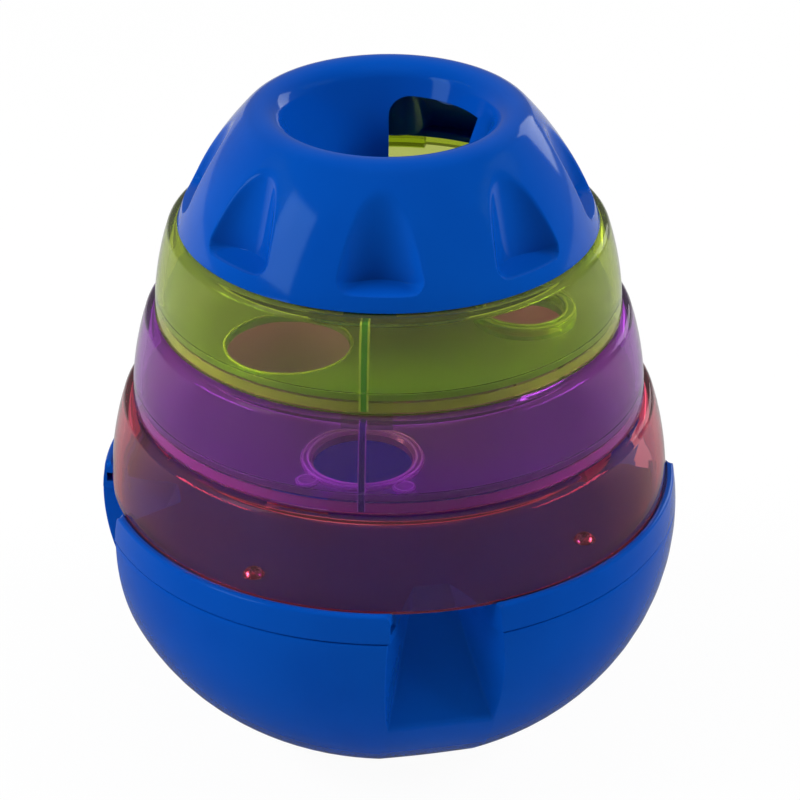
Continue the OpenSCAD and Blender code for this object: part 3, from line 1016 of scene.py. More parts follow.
@dataclass(frozen=True)
class TreatHole:
    """A hole in a tier's floor, with or without a raised collar."""

    off: float
    turn: float
    diameter: float
    collar_w: float = 0.0
    collar_h: float = 0.0
    flare: float = 0.3
    # Width and height of the pale rings that paint highlights on the hole's edges.
    glint_ring_w: float = 0.5
    glint_ring_h: float = 0.3
    collar_round: float = 0.9
    columns: int = 96

    @property
    def axis(self) -> np.ndarray:
        """Where the hole's axis meets the ground."""
        return on_turn(self.off, self.turn, 0.0)

    def collar(self, top: float) -> Mesh:
        """The collar as a ring that stands on the floor.

        Args:
            top: Height of the floor's upper face.

        Returns:
            The ring's mesh.
        """
        bore, r = self.diameter / 2, self.diameter / 2 + self.collar_w
        low, high = top + HAIR, top + self.collar_h
        section = rounded([
            (bore, low, 0.0), (r, low, 0.0), (r, high, min(self.collar_round, self.collar_h * 0.8)),
            (bore + self.flare, high, 0.0), (bore, high - self.flare, 0.0),
        ])
        return Shape.lathe(section, self.columns).moved(self.axis).mesh("collar")

    def glint_rings(self, top: float) -> list[Mesh]:
        """Thin pale frosted rings round the hole's upper edge and round the collar, painted highlights of the
        light that glows out of those edges.

        Args:
            top: Height of the floor's upper face.

        Returns:
            The beads' meshes.
        """
        high = top + self.collar_h + HAIR
        radii = [self.diameter / 2 + self.flare + 0.1]
        if self.collar_w:
            radii.append(self.diameter / 2 + self.collar_w - self.collar_round)
        sections = [block(r, r + self.glint_ring_w, high, high + self.glint_ring_h, 0.2) for r in radii]
        return [Shape.lathe(each, self.columns).moved(self.axis).mesh("glint_ring") for each in sections]

    def drill(self, low: float, top: float) -> Mesh:
        """The tool that cuts the hole, wider at its top.

        Args:
            low: Height of the floor's underside.
            top: Height of the floor's upper face.

        Returns:
            The tool's mesh.
        """
        r, flare, past, bevel = self.diameter / 2, 0.0 if self.collar_h else self.flare, 2.0, 0.3
        section = np.array([
            (0, low - past), (r + past, low - past), (r + bevel, low), (r, low + bevel),
            (r, top - flare - 0.01), (r + flare, top), (r + flare, top + past), (0, top + past),
        ])
        return Shape.lathe(section, self.columns, False).moved(self.axis).mesh("drill")


@dataclass
class TierFloor:
    """A clear disc with treat holes and lock hooks below it."""

    tier: ClearTier
    finish: Finish
    collar_finish: Finish
    # Finish of the pale rings that paint highlights on the edges.
    glint_ring_finish: Finish
    holes: tuple[TreatHole, ...]
    hook_turn: float
    ear_turn: float = 0.0
    ear_r: float = 3.0
    ear_h: float = 0.4
    fit: float = 0.05
    edge_round: float = 0.3

    def ears(self, hole: TreatHole, top: float) -> tuple[list[Mesh], list[Mesh]]:
        """Two low round ears beside a hole's collar, and thin pale rings on them, painted highlights of the
        ears' edges.

        Args:
            hole: The hole.
            top: Height of the floor's upper face.

        Returns:
            The ears' meshes and the rings' meshes.
        """
        r, low, high = self.ear_r, top + HAIR, top + self.ear_h
        ear = rounded([(0, low, 0), (r, low, 0), (r, high, self.edge_round), (0, high, 0)], closed=False)
        # A pale ring on the ear's edge, a painted highlight.
        glint_ring = block(r - 0.9, r - 0.5, high + HAIR, high + hole.glint_ring_h, 0.15)
        out = hole.diameter / 2 + hole.collar_w + self.ear_r / 2
        ears, glint_rings = [], []
        for side in (-1, 1):
            place = hole.axis + on_turn(out, hole.turn + side * self.ear_turn, 0.0)
            ears.append(Shape.lathe(ear, 48, False).moved(place).mesh("ear"))
            glint_rings.append(Shape.lathe(glint_ring, 48).moved(place).mesh("glint_ring"))
        return ears, glint_rings

    def build(self) -> None:
        """Make the floor with its holes and hooks and hand it over."""
        s, tier, soft = self.tier.stack, self.tier, self.edge_round
        bottom, seat, name = s.bottom(tier.level), s.floor_seat_r(tier.level), tier.name
        low, top, r = bottom + s.neck_h, bottom + s.neck_h + s.floor_t, seat - self.fit
        section = rounded([(0, low, 0), (r, low, soft), (r, top, soft), (0, top, 0)], closed=False)
        disc = Shape.lathe(section, 200, False).mesh("disc")
        disc = Workbench.carve(disc, [hole.drill(low, top) for hole in self.holes], Cut.AWAY)
        hooks = s.hooks(seat, s.neck_h - HAIR, bottom, self.hook_turn, self.finish)
        tier.mount.hand_over([disc, hooks], f"{name}_clear_floor", self.finish, (f"{name}_floor",))
        collars = [hole.collar(top) for hole in self.holes if hole.collar_h]
        # Thin pale rings that paint the highlights of the holes' and collars' edges.
        glint_rings = [glint_ring for hole in self.holes for glint_ring in hole.glint_rings(top)]
        if self.ear_turn:
            ears, rings = self.ears(self.holes[0], top)
            collars = [Workbench.carve(collars[0], ears, Cut.ADD)]
            glint_rings += rings
        tier.mount.hand_over(collars, f"{name}_hole_collar", self.collar_finish)
        tier.mount.hand_over(glint_rings, f"{name}_hole_glint_rings", self.glint_ring_finish)


@dataclass
class FunnelCap:
    """The blue cap: a dome with finger recesses, a rolled mouth, a funnel and a tube with a window."""

    stack: Stack
    finish: Finish
    hook_turn: float
    wall_t: float = 2.4
    height: float = 30.7
    foot_round: float = 0.5
    dome_curve_r: float = 85.7
    rim_crest_r: float = 31.8
    rim_roll_r: float = 6.0
    funnel_slope: float = 20.0
    tube_r: float = 16.2
    tube_gap: float = 0.5
    tube_row_z: float = 135.0
    neck_h: float = 2.0
    flange_t: float = 2.3
    window_top: float = 22.8
    window_first: float = 114.0
    window_sector: float = 66.0
    window_corner_r: float = 5.0
    recess_count: int = 8
    recess_half_w: float = 12.4
    recess_turn: float = -2.0
    recess_top_r: float = 7.8
    recess_corner_r: float = 4.0
    recess_depth: float = 7.4
    recess_slope: float = 14.0
    recess_wall_t: float = 1.8
    edge_round: float = 0.9
    ledge_round: float = 0.9
    sharp: float = 38.0

    @property
    def bottom(self) -> float:
        """Height of the cap's bottom edge."""
        return self.stack.bottom(3)

    @property
    def rim(self) -> np.ndarray:
        """Centre of the rolled rim's circle, as radius and height."""
        return np.array([self.rim_crest_r, self.bottom + self.height - self.rim_roll_r])

    @property
    def dome_centre(self) -> np.ndarray:
        """Find the centre of the dome's curve, which runs through the bottom edge and into the rim.

        Returns:
            Its radius and height.
        """
        foot = np.array([self.stack.radius(3), self.bottom])
        span = np.linalg.norm(self.rim - foot)
        chord = (self.rim - foot) / span
        big, small = self.dome_curve_r, self.dome_curve_r - self.rim_roll_r
        along = (big**2 - small**2 + span**2) / (2 * span)
        aside = math.sqrt(big**2 - along**2)
        return foot + along * chord + aside * np.array([-chord[1], chord[0]])

    def dome_r(self, z: Number, inset: float = 0.0) -> Number:
        """Radius of the dome at a height, drawn in by a wall."""
        centre = self.dome_centre
        return centre[0] + np.sqrt((self.dome_curve_r - inset) ** 2 - (z - centre[1]) ** 2)

    @property
    def flange_z(self) -> float:
        """Height of the inner flange's underside."""
        return self.bottom + self.neck_h

    @property
    def ledge_z(self) -> float:
        """Height of the finger recesses' ledges."""
        return self.flange_z + self.flange_t

    @property
    def socket_r(self) -> float:
        """Radius of the socket that takes the upper tier's neck."""
        return float(self.dome_r(self.flange_z, self.wall_t))

    def scoop_r(self, aside: np.ndarray, z: float) -> np.ndarray:
        """Radius at which the cone of a finger recess begins.

        Args:
            aside: Degrees from the recess's middle.
            z: Height.

        Returns:
            The radius, or a large one where the cone isn't met.
        """
        back = float(self.dome_r(self.ledge_z)) - self.recess_depth
        run = self.bottom + self.height - self.ledge_z
        fall = (self.recess_half_w - self.recess_top_r) / run
        tilt = math.radians(self.recess_slope) + math.atan(fall)
        c, s, h = math.cos(tilt), math.sin(tilt), z - self.ledge_z
        cosine, sine = np.cos(np.radians(aside)), np.sin(np.radians(aside))
        a1, b1 = cosine * c, -back * c + h * s - self.recess_half_w
        a2, b2 = fall * s * cosine, self.recess_half_w - fall * h * c - fall * s * back
        square, middle, rest = a1**2 + sine**2 - a2**2, a1 * b1 - a2 * b2, b1**2 - b2**2
        inside = middle**2 - square * rest
        root = (-middle - np.sqrt(np.maximum(inside, 0.0))) / square
        return np.where(inside > 0, root, FAR)

    def recess_edge(self, z: float) -> float:
        """Half angle of a recess's outline at a height, never less than a few degrees.

        Args:
            z: The height.

        Returns:
            The angle.
        """
        angles = np.linspace(0.0, 20.0, 401)
        inside = self.scoop_r(angles, max(z, self.ledge_z)) < self.dome_r(z)
        return max(float(angles[inside].max()) if inside.any() else 0.0, 3.0)

    def columns(self, edge: float) -> np.ndarray:
        """Turns of the grid's columns, crowded at the edges of the recesses.

        Args:
            edge: Half angle of the recesses at this height.

        Returns:
            The turns over the whole circle.
        """
        beyond = 180.0 / self.recess_count - edge
        right = np.concatenate([
            np.array([0, 0.15, 0.3, 0.44, 0.56, 0.66, 0.74, 0.81, 0.87, 0.92, 0.95, 0.975, 1.0]) * edge,
            edge + np.array([0.015, 0.03, 0.06, 0.1, 0.18, 0.32, 0.54, 0.78]) * beyond,
        ])
        return crowded(right, self.recess_turn, self.recess_count)

    def ring(self, r: float, z: float, recess: float | None = None) -> np.ndarray:
        """One closed row of points.

        Args:
            r: Radius where there is no recess.
            z: Height.
            recess: Wall between this row and the recesses, or None where they don't reach.

        Returns:
            The row's points.
        """
        turns = self.columns(self.recess_edge(z))
        radius = np.full(len(turns), r)
        if recess is not None:
            aside = nearest(turns, self.recess_turn, self.recess_count)
            cut = smooth_min(radius, self.scoop_r(aside, z) - recess, self.edge_round)
            corner = self.recess_corner_r
            start = r * math.sin(math.radians(self.recess_edge(self.ledge_z))) - corner
            over = np.clip(r * np.abs(np.sin(np.radians(aside))) - start, 0.0, corner)
            rise = corner - np.sqrt(corner**2 - over**2)
            share = np.clip((z - self.ledge_z - rise + recess) / self.ledge_round + 0.5, 0.0, 1.0)
            radius = radius + (cut - radius) * smooth_step(share)
        return on_turn(radius, turns, z)

    def arc(self, centre: np.ndarray, radius: float, angles: np.ndarray) -> list[np.ndarray]:
        """Rows along a circle of the half section."""
        return [self.ring(centre[0] + radius * math.cos(a), centre[1] + radius * math.sin(a)) for a in angles]

    def funnel(self, inset: float) -> list[np.ndarray]:
        """Rows down one side of the funnel's wall.

        Args:
            inset: Distance behind the funnel's own face.

        Returns:
            The rows, from the rim to the tube.
        """
        slope = math.radians(self.funnel_slope)
        top = self.rim + (self.rim_roll_r - inset) * np.array([-math.cos(slope), math.sin(slope)])
        throat = self.tube_r + inset
        drop = (top[0] - throat) / math.tan(slope)
        shares = np.linspace(0.0, 1.0, 20)[1:]
        return [self.ring(top[0] + (throat - top[0]) * k, top[1] - drop * k) for k in shares]

    def shell(self) -> Mesh:
        """The cap's whole skin, inside and out.

        Returns:
            A closed mesh without the window.
        """
        s, low, rim, ledge = self.stack, self.bottom, self.rim, self.ledge_z
        outward = (rim - self.dome_centre) / np.linalg.norm(rim - self.dome_centre)
        start, end = math.atan2(outward[1], outward[0]), math.pi - math.radians(self.funnel_slope)
        inner, foot = self.rim_roll_r - self.wall_t, self.foot_round
        corner = np.array([s.radius(3) - foot, low + foot])
        rows = self.arc(corner, foot, math.pi * np.array([1.5, 1.67, 1.83]))
        heights = np.concatenate([
            np.linspace(low + foot, ledge - 0.6, 8), ledge + np.linspace(-0.5, 4.5, 34),
            np.linspace(ledge + 4.8, rim[1] + self.rim_roll_r * outward[1], 46),
        ])
        rows += [self.ring(self.dome_r(z), z, 0.0) for z in heights]
        rows += self.arc(rim, self.rim_roll_r, np.linspace(start, end, 26)[1:])
        rows += self.funnel(0.0)
        tube_low = s.bottom(2) + s.neck_h + s.floor_t + self.tube_gap
        bore, outer = self.tube_r, self.tube_r + self.wall_t
        rows += [self.ring(r, z) for r, z in (
            (bore, self.tube_row_z), (bore, tube_low + 0.6), (bore + 0.3, tube_low),
            (outer - 0.3, tube_low), (outer, tube_low + 0.6), (outer, self.tube_row_z),
        )]
        rows += self.funnel(self.wall_t)[::-1]
        rows += self.arc(rim, inner, np.linspace(end, start, 10)[1:])
        heights = np.linspace(rim[1] + inner * outward[1], low, 40)[1:]
        rows += [self.ring(self.dome_r(z, self.wall_t), z, self.recess_wall_t) for z in heights]
        return Shape.grid(np.array(rows), True, True).mesh("cap")

    def window(self) -> Mesh:
        """The tool that cuts the window, with one round top corner.

        Returns:
            The tool's mesh.
        """
        low, top = self.stack.bottom(2), self.bottom + self.window_top
        near, far = 2.0, self.rim_crest_r - self.rim_roll_r / 2
        first, last = self.window_first, self.window_first + self.window_sector
        round_r = self.window_corner_r
        bend = math.degrees(round_r / (self.tube_r + 4.0))
        outline = [(first, low), (last, low)]
        for angle in math.pi / 2 * np.arange(9) / 8:
            outline.append((last - bend * (1 - math.cos(angle)), top - round_r * (1 - math.sin(angle))))
        outline += [(t, top) for t in np.linspace(last - bend, first, 10)[1:]]
        outline += [(first, z) for z in np.linspace(top, low, 4)[1:-1]]
        turns, heights = np.array(outline).T
        rows = np.array([on_turn(r, turns, heights) for r in (near, far)])
        return Shape.grid(rows, False, True, True).mesh("window")

    def build(self) -> None:
        """Make the cap with its flange and hooks and hand it over."""
        s, low, high = self.stack, self.flange_z, self.ledge_z - 0.3
        shell = Workbench.carve(self.shell(), [self.window()], Cut.AWAY)
        near = s.neck_bore_r(self.socket_r) - s.lock_gap - s.hook_leg_t
        flange = Shape.lathe(rounded([
            (near, low, 0.4), (self.socket_r + 0.8, low, 0.0), (self.socket_r - 0.6, high, 0.0),
            (near, high, 0.4),
        ])).mesh("flange")
        root = self.neck_h + self.flange_t / 2
        hooks = s.hooks(self.socket_r, root, self.bottom, self.hook_turn, self.finish)
        nodes = ("top_cap", "cap_funnel")
        mount = Mount("cap", "blue_plastic")
        mount.hand_over([shell, flange, hooks], "one_piece_cap", self.finish, nodes, self.sharp)


@dataclass(frozen=True)
class Chute:
    """The wedge of space that each chute takes out of the bowl and the deck."""

    count: int = 4
    turn: float = 11.0
    half_w: float = 14.3
    ramp_top_d: float = 56.0
    ramp_top_half_w: float = 4.5
    ramp_slope: float = 19.5
    spread: float = 4.4
    deck_z: float = 68.5
    bowl_r: float = 76.1
    toe_top: float = 40.0
    toe_d: float = 1.5
    least_open: float = 0.02
    least_edge: float = 2.5

    @property
    def flare(self) -> float:
        """How fast the walls open outward."""
        edge = math.sqrt(self.bowl_r**2 - self.half_w**2)
        return (self.half_w - self.ramp_top_half_w) / (edge - self.ramp_top_d)

    def reach(self, z: Number, grow: float = 0.0) -> Number:
        """Where the walls would meet the middle plane, as minus a half width at the axis."""
        down = (self.deck_z - z) * math.tan(math.radians(self.spread))
        return self.ramp_top_half_w - self.ramp_top_d * self.flare + down + grow * math.hypot(1.0, self.flare)

    def ramp_d(self, z: Number, grow: float = 0.0) -> Number:
        """Distance of the ramp from the axis at a height."""
        return self.ramp_top_d + (self.deck_z - z) * math.tan(math.radians(self.ramp_slope)) - grow

    def wall_turn(self, r: Number, z: Number) -> Number:
        """Degrees from the chute's middle to its side wall, at a radius and a height."""
        share = np.clip(-self.reach(z) / (r * math.hypot(1.0, self.flare)), -1.0, 1.0)
        return np.degrees(np.arccos(share) - math.atan2(1.0, self.flare))

    def front_r(self, aside: np.ndarray, z: float, blend: float, grow: float = 0.0) -> np.ndarray:
        """Radius at which a ray from the axis enters the chute.

        Args:
            aside: Degrees from the chute's middle.
            z: Height.
            blend: Rounding of the corner between ramp and walls.
            grow: Wall thickness by which the wedge is grown.

        Returns:
            The radius, or a large one beside the chute.
        """
        c, s, least = np.cos(np.radians(aside)), np.abs(np.sin(np.radians(aside))), self.least_open
        opening = self.flare * c - s
        wall = np.where(opening > least, -self.reach(z, grow) / np.maximum(opening, least), FAR)
        return smooth_max(self.ramp_d(z, grow) / c, np.minimum(wall, FAR), blend)

    def toe_half_w(self, z: float) -> float:
        """Half width of the shallow toe that runs on from the ramp to the foot."""
        return float(np.interp(z, (0.0, 10.0, 20.0, 33.0, self.toe_top), (8.5, 11.6, 13.6, 14.2, 14.0)))

    def toe_depth(self, z: float) -> float:
        """Depth of that toe at its middle."""
        share = min(max((z - 2.0) / 14.0, 0.0), 1.0)
        return self.toe_d * smooth_step(share) if z < self.toe_top else 0.0

    def edge(self, r: float, z: float) -> float:
        """Half angle of the chute's outline on a circle, which is the toe's below the ramp.

        Args:
            r: Radius of the circle.
            z: Its height.

        Returns:
            The angle.
        """
        ramp, toe = self.ramp_d(z), 0.0
        if z < self.toe_top:
            toe = math.degrees(math.asin(min(self.toe_half_w(z) / max(r, 20.0), 1.0)))
        by_ramp = math.degrees(math.acos(ramp / r)) if ramp < r else 0.0
        return max(min(float(self.wall_turn(r, z)), by_ramp), toe, self.least_edge)

    def corner(self, z: float) -> float:
        """Half angle of the corner between the ramp and its walls."""
        d = self.ramp_d(z)
        return math.degrees(math.atan2(self.flare * d + self.reach(z), d))

    def columns(self, edge: float, corner: float) -> np.ndarray:
        """Turns of a grid's columns, crowded at the chutes' edges and corners.

        Args:
            edge: Half angle of the chutes at this row.
            corner: Half angle of the ramp at this row.

        Returns:
            The turns over the whole circle.
        """
        corner = min(corner, 0.9 * edge)
        wall, beyond = edge - corner, 180.0 / self.count - edge
        right = np.concatenate([
            np.array([0, 0.15, 0.3, 0.45, 0.6, 0.74, 0.85, 0.93, 0.97, 1.0]) * corner,
            corner + np.array([0.03, 0.08, 0.2, 0.34, 0.5, 0.66, 0.8, 0.9, 0.95, 0.975, 0.99, 1.0]) * wall,
            edge + np.array([0.003, 0.007, 0.014, 0.03, 0.06, 0.12]) * beyond,
            edge + np.array([0.22, 0.34, 0.48, 0.62, 0.76, 0.88]) * beyond,
        ])
        return crowded(right, self.turn, self.count)


@dataclass
class BaseBowl:
    """The round blue bowl with its chutes."""

    chute: Chute
    finish: Finish
    mount: Mount
    curve_r: float = 61.2
    widest_z: float = 61.5
    foot_z: float = 0.35
    wall_t: float = 2.6
    chute_wall_t: float = 2.4
    parting_z: float = 64.1
    rim_z: float = 66.0
    rim_r: float = 69.4
    edge_round: float = 0.5
    corner_round: float = 0.7
    middle_r: float = 15.0
    middle_edge: float = 9.0
    sharp: float = 40.0

    def skin_r(self, z: Number, inset: float = 0.0) -> Number:
        """Radius of the bowl at a height, drawn in by a wall."""
        middle = self.chute.bowl_r - self.curve_r
        return middle + np.sqrt(np.maximum((self.curve_r - inset) ** 2 - (z - self.widest_z) ** 2, 0.0))

    def ring(
        self, r: float, z: float, grow: float = 0.0, blend: float = 0.5, toed: bool = False
    ) -> np.ndarray:
        """One closed row of points, drawn back at the chutes.

        Args:
            r: Radius beside the chutes.
            z: Height.
            grow: Wall between this row and the chutes.
            blend: Rounding of the chutes' outer edges.
            toed: Whether the chutes' toes are sunk into it.

        Returns:
            The row's points.
        """
        chute = self.chute
        edge = chute.edge(r, z) if r > self.middle_r else self.middle_edge
        turns = chute.columns(edge, chute.corner(z))
        aside = nearest(turns, chute.turn, chute.count)
        front = chute.front_r(aside, z, self.corner_round, grow)
        radius = smooth_min(np.full(len(turns), r), front, blend)
        if toed:
            share = r * np.sin(np.radians(aside)) / chute.toe_half_w(z)
            radius = np.minimum(radius, r - chute.toe_depth(z) * np.clip(1.0 - share**2, 0.0, 1.0))
        return on_turn(radius, turns, z)

    def build(self) -> None:
        """Make the bowl, inside and out, and hand it over."""
        parting, wall = self.parting_z, self.chute_wall_t
        rows = [self.ring(r, 0.0) for r in (0.0, 12.0, 17.0)]
        first, last = (math.asin((z - self.widest_z) / self.curve_r) for z in (self.foot_z, parting - 0.4))
        for angle in np.linspace(first, last, 84):
            z = self.widest_z + self.curve_r * math.sin(angle)
            rows.append(self.ring(self.skin_r(z), z, 0.0, self.edge_round, True))
        skirt = self.skin_r(parting)
        rows += [self.ring(r, z, 0.0, 0.4) for r, z in (
            (skirt - 0.12, parting - 0.12), (skirt - 0.4, parting), (self.rim_r, parting),
            (self.rim_r, self.rim_z), (self.rim_r - 1.0, self.rim_z),
        )]
        low = self.widest_z - self.curve_r + self.wall_t + 0.4
        for z in np.linspace(self.rim_z, low + 1.2, 28):
            rows.append(self.ring(self.skin_r(z, self.wall_t) - 0.2, z, wall, 1.0))
        rows += [self.ring(r, self.wall_t, wall) for r in (14.0, 0.0)]
        bowl = Shape.grid(np.array(rows), False, True).mesh("bowl")
        self.mount.hand_over([bowl], "chuted_bowl", self.finish, ("base_bowl",), self.sharp)


@dataclass
class BaseDeck:
    """The blue deck under the lower tier: a crowned plate and a lip between each two chutes."""

    bowl: BaseBowl
    stack: Stack
    finish: Finish
    mount: Mount
    crown_r: float = 50.0
    crown_h: float = 4.0
    plate_t: float = 2.5
    plate_r: float = 60.0
    plate_round: float = 0.6
    lip_top_z: float = 71.9
    lip_round: float = 2.2
    curb_w: float = 1.2
    end_round: float = 2.0
    end_foot: float = 0.5
    end_draft: float = 0.8
    shadow_h: float = 0.25
    shadow_d: float = 0.9
    sharp: float = 36.0

    @property
    def curb_r(self) -> float:
        """Inner radius of the curb that the lower tier stands on."""
        return self.stack.lower_r - self.stack.wall_t - self.curb_w

    def plate(self) -> Mesh:
        """The crowned plate, drawn back at the chutes.

        Returns:
            The plate's mesh.
        """
        ring, top, edge = self.bowl.ring, self.bowl.chute.deck_z, self.curb_r + 1.0
        low = top - self.plate_t
        bend = (self.crown_r**2 + self.crown_h**2) / (2 * self.crown_h)
        across = np.linspace(0.0, self.crown_r, 16)
        rise = np.sqrt(bend**2 - across**2) - bend + self.crown_h
        rows = [ring(r, low + h) for r, h in zip(across, rise)]
        rows += [ring(r, z, 0.0, self.plate_round) for r, z in (
            (self.plate_r, low), (edge, low), (edge, top - 0.5), (edge - 0.15, top - 0.15), (edge - 0.5, top),
            (self.plate_r, top),
        )]
        rows += [ring(r, top + h) for r, h in zip(across[::-1], rise[::-1])]
        return Shape.grid(np.array(rows), False, True).mesh("plate")

    def lip_section(self, channelled: bool) -> np.ndarray:
        """Half section of a lip with its curb.

        Args:
            channelled: Whether the channel for the lower tier's tabs runs through it.

        Returns:
            The section's points.
        """
        s, bowl, curb = self.stack, self.bowl, self.curb_r
        foot_r, crest_r = (bowl.skin_r(z) for z in (bowl.parting_z, self.lip_top_z))
        inner, foot_z, back = s.lower_r + s.lock_gap, bowl.parting_z + self.shadow_h, foot_r - self.shadow_d
        corners: list[Corner] = [
            (curb, bowl.parting_z, 0.0), (back, bowl.parting_z, 0.0), (back, foot_z, 0.0),
            (foot_r, foot_z, 0.2),
        ]
        corners += [(bowl.skin_r(z), z, 0.0) for z in (66.0, 67.5)]
        corners += [(crest_r, self.lip_top_z, self.lip_round), (inner, self.lip_top_z, 0.35)]
        corners.append((inner, s.seat_z, 0.0))
        if channelled:
            back, low = s.lower_r - s.wall_t, bowl.chute.deck_z - self.plate_t + s.lock_gap
            tip, toe_top = s.lower_r + s.tab_reach + s.lock_gap, low + s.toe_h + 2 * s.lock_gap
            corners += [(s.lower_r, s.seat_z, 0.0), (s.lower_r, toe_top, 0.0), (tip, toe_top, 0.0)]
            corners += [(tip, low, 0.0), (back, low, 0.0), (back, s.seat_z, 0.0)]
        corners.append((curb, s.seat_z, 0.3))
        return rounded(corners, 7)

    def swept(self, section: np.ndarray, start: float, side: int) -> Mesh:
        """Sweep a lip's section from a turn to the lip's end on one side.

        Args:
            section: The half section.
            start: Turn from the lip's middle at which the sweep starts.
            side: Minus one for the left end, one for the right end.

        Returns:
            The mesh, with the end's top corner rounded and its foot drawn out a little.
        """
        chute, low, soft = self.bowl.chute, self.bowl.parting_z, self.end_round
        r, z = section[:, :1], section[:, 1:]
        draft = self.end_foot - self.end_draft * np.clip((z - low) / (self.lip_top_z - low), 0.0, 1.0)
        end = np.radians(180.0 / chute.count - chute.wall_turn(r, z)) * r + draft
        first = math.radians(start * side) * r
        near = np.array([7.0, 4.5, 3.0, 2.2, 1.6, 1.1, 0.7, 0.35, 0.12, 0.0])
        share = np.linspace(0.0, 1.0, 17)[:-1]
        along = np.concatenate([first + (end - near[0] - first) * share, end - near], axis=1)
        gap = np.clip(soft - (end - along), 0.0, soft)
        drop = soft - np.sqrt(soft**2 - gap**2)
        outward = np.clip((r - self.stack.lower_r - self.stack.lock_gap) / 1.2, 0.0, 1.0)
        height = np.minimum(z, self.lip_top_z - drop * outward)
        rows = on_turn(r, np.degrees(along / r) * side, height)[:, ::side]
        return Shape.grid(rows, True, False, True).mesh("lip")

    def lip(self) -> Mesh:
        """One lip, centred on turn 0, solid to the left and channelled to the right.

        Returns:
            The lip's mesh.
        """
        s, chute = self.stack, self.bowl.chute
        sweep = s.hook_sweep(s.lower_r - s.wall_t + s.lock_gap)
        first = s.tab_turn - sweep / 2 - s.lock_room - (chute.turn - 180.0 / chute.count)
        halves = [self.swept(self.lip_section(side > 0), first, side) for side in (-1, 1)]
        return Workbench.merged(halves, "lip")

    def build(self) -> None:
        """Make the plate and the lips and hand them over."""
        chute, turn = self.bowl.chute, self.bowl.chute.turn + 180.0 / self.bowl.chute.count
        lips = CopyRing.copies(self.lip(), chute.count, turn, self.finish.paint())
        self.mount.hand_over([self.plate(), lips], "lipped_deck", self.finish, ("base_deck",), self.sharp)


@dataclass
class DeckScrews:
    """Pan head screws with a cross slot, between the chutes."""

    finish: Finish
    mount: Mount
    count: int = 4
    first: float = 56.0
    circle: float = 60.0
    deck_z: float = 68.5
    head_r: float = 2.8
    head_h: float = 1.9
    shank_r: float = 1.5
    shank_len: float = 12.0
    slot_half_l: float = 1.7
    slot_half_w: float = 0.36
    slot_low: float = 0.7
    slot_top: float = 4.0
    sharp: float = 35.0

    def slot(self, x: float, y: float) -> Mesh:
        """The tool for one slot of the cross, narrower below.

        Args:
            x: Half its length along X.
            y: Half its length along Y.

        Returns:
            The tool's mesh.
        """
        sides = np.array([(-x, -y), (x, -y), (x, y), (-x, y)])
        levels = ((0.75, self.deck_z + self.slot_low), (1.1, self.deck_z + self.slot_top))
        rows = np.array([np.column_stack([sides * k, np.full(4, h)]) for k, h in levels])
        return Shape.grid(rows, False, True, True).mesh("slot")

    def one(self) -> Mesh:
        """One screw on the axis, with its head on the deck.

        Returns:
            The screw's mesh.
        """
        z, tip, r = self.deck_z, self.deck_z - self.shank_len, self.shank_r
        bend = (self.head_r**2 + self.head_h**2) / (2 * self.head_h)
        across = [self.head_r * k for k in (0.97, 0.9, 0.78, 0.6, 0.4, 0.2, 0.0)]
        crown = [(x, z + self.head_h - bend + math.sqrt(bend**2 - x**2), 0.0) for x in across]
        section = rounded([
            (0.0, tip, 0.0), (r * 0.5, tip, 0.0), (r, tip + 2, 0.0), (r, z, 0.0), (self.head_r, z, 0.0),
            *crown,
        ], closed=False)
        screw = Shape.lathe(section, 40, False).mesh("screw")
        long, thin = self.slot_half_l, self.slot_half_w
        return Workbench.carve(screw, [self.slot(long, thin), self.slot(thin, long)], Cut.AWAY)

    def build(self) -> None:
        """Make the screws and hand them over."""
        screws = ScrewRing.screws(self.one(), self.count, self.circle, self.first, self.finish.paint())
        self.mount.hand_over([screws], "cross_slot_screws", self.finish, ("deck_screws",), self.sharp)


@dataclass(frozen=True)
class SoftBox:
    """A rectangular studio lamp that faces the tower."""

    name: str
    turn: float
    rise: float
    away: float
    width: float
    height: float
    glow: float
    mirrored: bool = False

    def hang(self, target: Vector) -> None:
        """Put the lamp in the scene.

        Args:
            target: The point that it faces, in metres.
        """
        lamp = bpy.data.lights.new(self.name, "AREA")
        lamp.shape, lamp.size, lamp.size_y = "RECTANGLE", self.width, self.height
        lamp.energy = self.glow * math.pi * self.width * self.height
        holder = bpy.data.objects.new(self.name, lamp)
        turn, rise = math.radians(self.turn), math.radians(self.rise)
        ray = Vector((math.sin(turn) * math.cos(rise), -math.cos(turn) * math.cos(rise), math.sin(rise)))
        holder.location = target + ray * self.away
        holder.rotation_euler = (-ray).to_track_quat("-Z", "Y").to_euler()
        holder.visible_glossy = self.mirrored
        bpy.context.scene.collection.objects.link(holder)


